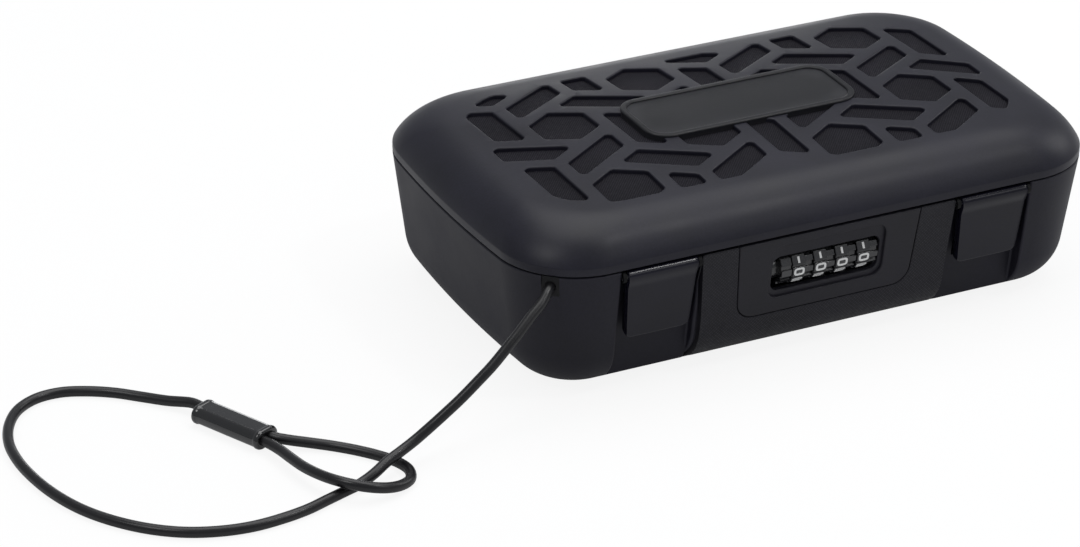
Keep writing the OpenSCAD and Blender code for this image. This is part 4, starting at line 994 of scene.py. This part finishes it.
wheel = {"x": -14.0, "y": 7.0, "z": -16.5, "pitch": 8.85, "ringL": 5.2, "gap": 0.35, "padR": 7.2,
         "padW": 4.05, "bore": 4.65, "gripR": 6.9, "gripW": 2.3, "gripBore": 4.75, "gripIn": 0.4,
         "edgeR": 0.25, "boreR": 0.1, "padDeep": 0.75, "padSlant": 0.2, "padSoft": 0.3,
         "gripDeep": 1.4, "gripFoot": 1.2, "gripSoft": 0.35}
digits = {"wide": 3.4, "tall": 2.35, "stroke": 0.84, "height": 0.05, "turnR": 0.9}
# lines of each digit on a square of side one, True where a line closes on itself
strokes = [
    [(True, [(0, 0), (1, 0), (1, 1), (0, 1)])],
    [(False, [(0.5, 0), (0.5, 1)])],
    [(False, [(0, 1), (1, 1), (1, 0.52), (0, 0.48), (0, 0), (1, 0)])],
    [(False, [(0, 1), (1, 1), (1, 0), (0, 0)]), (False, [(0.25, 0.5), (1, 0.5)])],
    [(False, [(0.8, 0), (0.8, 1), (0, 0.3), (1, 0.3)])],
    [(False, [(1, 1), (0, 1), (0, 0.52), (1, 0.52), (1, 0), (0, 0)])],
    [(False, [(1, 1), (0, 1), (0, 0), (1, 0), (1, 0.52), (0, 0.52)])],
    [(False, [(0, 1), (1, 1), (0.4, 0)])],
    [(True, [(0, 0), (1, 0), (1, 1), (0, 1)]), (False, [(0, 0.5), (1, 0.5)])],
    [(False, [(0, 0), (1, 0), (1, 1), (0, 1), (0, 0.48), (1, 0.48)])]]


def makeLockPanel():
    # face plate with the frame's opening, and the sunken frame behind it with the window
    frameHole = rectLoop(lock["frameL"], lock["frameH"], lock["frameR"], wheel["z"] + lock["frameUp"])
    window = rectLoop(lock["windowL"], lock["windowH"], lock["windowR"], wheel["z"])
    thick, top, back = lock["thick"], lock["sunk"], lock["thick"] - 0.02
    face = plateSolid(lambda g: lockLoop(g, -0.6), [frameHole], edgeRings(lock["edgeR"], thick),
                      edgeRings(lock["frameEdgeR"], thick, sign=-1.0), facePlace, 4.0)
    windowEdge = [(g, t + top) for g, t in edgeRings(lock["windowEdgeR"], back - top, sign=-1.0)]
    depths = [(0.0, top), (0.0, back)]
    sunk = plateSolid(lambda g: frameHole(lock["lap"]), [window], depths, windowEdge, facePlace, 4.0)
    obj = buildPiece("lock_face", [face, sunk], finish["panel"])
    fitPiece(obj, "tub", "lock_panel", "lock_panel")


def strokePart(line, closed, place):
    # flat ribbon along a line with rounded corners: the line moved half a stroke to each side, and made thick
    prev, corner, after = np.roll(line, 1, 0), line, np.roll(line, -1, 0)
    if not closed:
        prev, corner, after = prev[1:-1], corner[1:-1], after[1:-1]
    t = np.linspace(0, 1, 6)[:, None]
    pts = []
    for a, b, c in zip(prev, corner, after):
        inLength, outLength = np.linalg.norm(a - b), np.linalg.norm(c - b)
        r = min(digits["turnR"], inLength / 2, outLength / 2)
        s, e = b + (a - b) / inLength * r, b + (c - b) / outLength * r
        pts.append((1 - t) ** 2 * s + 2 * t * (1 - t) * b + t ** 2 * e)
    q = np.concatenate(pts if closed else [line[:1]] + pts + [line[-1:]])
    way = np.roll(q, -1, 0) - np.roll(q, 1, 0) if closed else np.gradient(q, axis=0)
    out = np.stack([way[:, 1], -way[:, 0]], -1) / np.linalg.norm(way, axis=1)[:, None] * digits["stroke"] / 2
    h = digits["height"]
    rings = np.stack([place(q - out, 0.0), place(q - out, h), place(q + out, h), place(q + out, 0.0)], 1)
    return (rings.reshape(-1, 3), [ringFaces(len(q), 4, True)]) if closed else gridSolid(rings)


def toothedRing(reach, half, root, foot, soft, bore, start, length):
    # ten blunt teeth round a bore: each a flat end with two shoulders, and a floor between neighbours
    a = np.radians(np.arange(10) * 36)[:, None]
    x, y = np.array([root, reach, reach, root]), np.array([-foot, -half, half, foot])
    teeth = np.stack([x * np.cos(a) - y * np.sin(a), x * np.sin(a) + y * np.cos(a)], -1).reshape(-1, 2)
    rim = edgeRings(wheel["edgeR"], length, 3, wheel["edgeR"])
    hub = edgeRings(wheel["boreR"], length, 3, wheel["boreR"], sign=-1.0)

    def outer(g):
        return softLoop(teeth, [0.1, soft, soft, 0.1] * 10, g, 4)

    def hole(g):
        return arc(0, 0, bore + g, 0, 360, 48)[:-1]

    def place(p, t):
        # the drawing plane (toward the front, up) to the wheel's place, depth along its axis
        y, z = wheel["y"] - p[:, 0], wheel["z"] + p[:, 1]
        return onFront(np.column_stack([np.full(len(p), start + t), y, z]))
    return plateSolid(outer, [hole], rim, hub, place, 9)


def digitMarks(mid):
    # ten digits round the wheel's pads, each laid flat on the tangent plane of its pad
    marks = []
    for digit, lines in enumerate(strokes):
        c, s = math.cos(math.radians(36 * digit)), math.sin(math.radians(36 * digit))

        def place(q, h):
            # h out from the pad along its direction, and up square to it
            out, up = wheel["padR"] - 0.01 + h, q[:, 1]
            y, z = wheel["y"] - (out * c - up * s), wheel["z"] + out * s + up * c
            return onFront(np.column_stack([mid + q[:, 0], y, z]))
        marks += [strokePart((np.array(line) - 0.5) * [digits["wide"], digits["tall"]], closed, place)
                  for closed, line in lines]
    return marks


def makeWheel(k):
    # a ring of ten pads that carry the digits, and a narrower ring of ten grips beside it
    x, r, half = wheel["x"] + k * wheel["pitch"], wheel["padR"], wheel["padW"] / 2
    gripL = wheel["pitch"] - wheel["gap"] - wheel["ringL"] + wheel["gripIn"]
    pads = toothedRing(r, half, r - wheel["padDeep"], half - wheel["padSlant"], wheel["padSoft"],
                       wheel["bore"], x, wheel["ringL"])
    grips = toothedRing(wheel["gripR"], wheel["gripW"] / 2, r - wheel["gripDeep"], wheel["gripFoot"],
                        wheel["gripSoft"], wheel["gripBore"], x + wheel["ringL"] - wheel["gripIn"], gripL)
    obj = buildPiece("dial_%d_wheel" % (k + 1), [pads, grips], finish["wheel"])
    fitPiece(obj, "dial_%d" % (k + 1), "wheels", "wheel_%d" % (k + 1))
    obj = buildPiece("dial_%d_digits" % (k + 1), digitMarks(x + wheel["ringL"] / 2), finish["digit"])
    fitPiece(obj, "dial_%d" % (k + 1), "wheels")


makeLockPanel()
for k in range(4):
    makeWheel(k)
print("lock made")

# foam and feet

foam = {"gap": 0.35, "thick": 2.45, "frontY": 28.6, "drop": 6.2, "swell": 0.9, "lidIn": 19.2, "lidDown": 3.15,
        "lidT": 2.9, "edgeR": 0.5, "lowR": 0.9}
foot = {"x": 78, "y": 31,  # flat top inside the tub, a rolled edge, and a tread with one ring groove
        "profile": [(1.5, 0.01), (1.5, 6.0), (0.45, 6.0), (0.2, 5.9), (0.05, 5.65), (0.0, 5.3), (0.0, 4.2),
                    (0.3, 4.0), (0.3, 3.5), (0.0, 3.3), (0.0, 1.2), (0.15, 0.8), (0.2, 0.01)]}


def makeTubFoam():
    # an open tray of foam whose floor swells a little between its edges
    away, thick, front = case["wall"] + foam["gap"], foam["thick"], -halfD + foam["frontY"]
    top, low = case["rim"] - foam["drop"], case["footH"] + away + 0.02
    lowIn = low + thick

    def ringAt(extra, z):
        # level ring of the case's outline, cut straight in front, moved in by extra
        r = case["bellyR"] - away - extra
        if z > bellyZ - r * sinL:
            inset = wallInset(z) + (away + extra) / cosL
        else:
            inset = bellyIn - math.sqrt(max(r * r - (z - bellyZ) ** 2, 0))
        flat = planRing(inset, case["cornerR"] - inset, 16, 8, None, 24)
        return atHeight(np.column_stack([flat[:, 0], np.maximum(flat[:, 1], front + extra)]), z)

    def bellyHeights(base):
        # heights up to the belly's centre by one less the cosine, close together at the bottom
        return base + (bellyZ - base) * (1 - np.cos(np.linspace(0, math.pi / 2, 12)))
    wallHeights = np.linspace(bellyZ, top - 0.6, 6)
    rings = [ringAt(0, z) for z in [*bellyHeights(low), *wallHeights[1:]]]
    rings += [ringAt(0.3, top - 0.15), ringAt(0.9, top)]
    rings += [ringAt(thick - 0.9, top), ringAt(thick - 0.3, top - 0.15)]
    rings += [ringAt(thick, z) for z in [*wallHeights[::-1], *bellyHeights(lowIn)[-2::-1]]]
    edge, mid = rings[-1], rings[-1].mean(0)
    for k in np.linspace(0.9, 0.06, 12):
        ring = mid + (edge - mid) * [k, k, 1]
        ring[:, 2] = lowIn + foam["swell"] * (1 - k ** 2) ** 0.7
        rings.append(ring)
    obj = buildPiece("tub_foam", [gridSolid(inCase(rings))], finish["foam"], 60)
    fitPiece(obj, "tub", "foam", "base_liner")


def makeLidFoam():
    # a soft sheet under the pocket floor with rounded edges
    edge = edgeRings(foam["edgeR"], foam["lidT"], 4, foam["lowR"])
    sheet = plateSolid(lambda g: lidRing(foam["lidIn"] - g), [], edge, [],
                       lambda p, t: onCrown(p, foam["lidDown"] + t), 6.0)
    obj = buildPiece("lid_foam", [sheet], finish["foam"], 60)
    fitPiece(obj, "lid", "foam", "lid_liner")


def makeFeet():
    # round rubber pads turned from (height, radius) pairs
    pts, faces = lathe(foot["profile"])
    spots = [(x * foot["x"], y * foot["y"], 0) for x in (-1, 1) for y in (-1, 1)]
    parts = [(inCase(pts[:, [1, 2, 0]] + spot), faces) for spot in spots]
    obj = buildPiece("foot_pads", parts, finish["rubber"])
    fitPiece(obj, "tub", "feet", "feet")


makeTubFoam()
makeLidFoam()
makeFeet()
print("foam and feet made")

# CAD nodes that stay, by finish

dressed = {
    "rubber": ["rim_gasket", "cable_grommet"],
    "latch": ["hinge_leaves"],
    # the lid frame gets the near-black painted shade
    "frame": ["lid_frame"],
    "inner": ["lock_case", "lock_cover", "mechanism_cover"],
    "wheel": ["wheel_spacer"],
    "red": ["reset_lever"],
    "brass": ["code_sleeve_1", "code_sleeve_2", "code_sleeve_3", "code_sleeve_4"],
    "steel": ["hinge_pins", "hinge_screws", "lock_screws", "detent_spring", "lock_rod", "lock_slide",
              "lid_screws", "latch_pins", "latch_hook_left", "latch_hook_right", "cable_stop"],
}
for key, names in dressed.items():
    for name in names:
        for place in bpy.data.objects[name].material_slots:
            place.material = finish[key]

# floor and light

studio = {"floorShade": (0.6, 0.6, 0.61, 1), "floorSeen": (0.9, 0.9, 0.9, 1), "glowSeen": 0.88,
          "glowMirrored": 0.2, "world": (0.92, 0.95, 1.0, 1), "worldStrength": 0.4, "aim": (0, 0, 0.05)}
# place in metres, size in metres, power in watts
lamps = {"top box": ((0.3, 0.4, 1.7), 1.6, 19), "key": ((0.65, -0.62, 1.49), 0.2, 3.6),
         "front box": ((0.75, -1.22, 1.13), 0.5, 1.4), "left box": ((-1.1, -0.3, 1.5), 0.6, 5),
         "right box": ((1.6, 0.0, 0.9), 0.7, 4), "back box": ((0.85, 1.9, 0.2), 0.4, 1.3)}


def makeFloor():
    # pale floor that keeps the object's shadow; the camera and mirrored rays see part of it as a white glow
    mesh = bpy.data.meshes.new("ground")
    mesh.from_pydata([(-4, -4, 0), (4, -4, 0), (4, 4, 0), (-4, 4, 0)], [], [(0, 1, 2, 3)])
    m = Recipe("pale ground")
    rays = ("Is Camera Ray", "Is Glossy Ray", "Is Transmission Ray")
    seen, glossy, through = [m.add("LightPath", {}, ray) for ray in rays]
    paint = m.mix(seen, studio["floorShade"], studio["floorSeen"])
    m.set(m.shader, {"Base Color": paint, "Roughness": 0.7, "Specular IOR Level": 0.2})
    mirrored = m.maths("MULTIPLY", m.maths("MAXIMUM", glossy, through), studio["glowMirrored"])
    share = m.maths("MULTIPLY_ADD", seen, studio["glowSeen"], mirrored)
    glow = m.add("Emission", {"Strength": 1.0})
    surface = m.add("MixShader", {0: share, 1: m.shader.outputs[0], 2: glow})
    m.set(m.tree.nodes["Material Output"], {"Surface": surface})
    mesh.materials.append(m.material)
    addObject("ground", mesh)


def makeLight():
    # even pale surroundings, and square lamps that all aim at one point
    world = bpy.context.scene.world or bpy.data.worlds.new("studio")
    bpy.context.scene.world = world
    world.use_nodes = True
    tree = world.node_tree
    tree.nodes.clear()
    soft = tree.nodes.new("ShaderNodeBackground")
    soft.inputs["Color"].default_value = studio["world"]
    soft.inputs["Strength"].default_value = studio["worldStrength"]
    tree.links.new(soft.outputs[0], tree.nodes.new("ShaderNodeOutputWorld").inputs["Surface"])
    for name, (place, size, power) in lamps.items():
        data = bpy.data.lights.new(name, "AREA")
        data.shape, data.size, data.energy = "SQUARE", size, power
        obj = addObject(name, data)
        obj.visible_camera = False
        aimed = (Vector(studio["aim"]) - Vector(place)).to_track_quat("-Z", "Y").to_matrix().to_4x4()
        obj.matrix_world = Matrix.Translation(Vector(place)) @ aimed


makeFloor()
makeLight()
bpy.context.scene.view_settings.view_transform = "Standard"
print("stage lit")
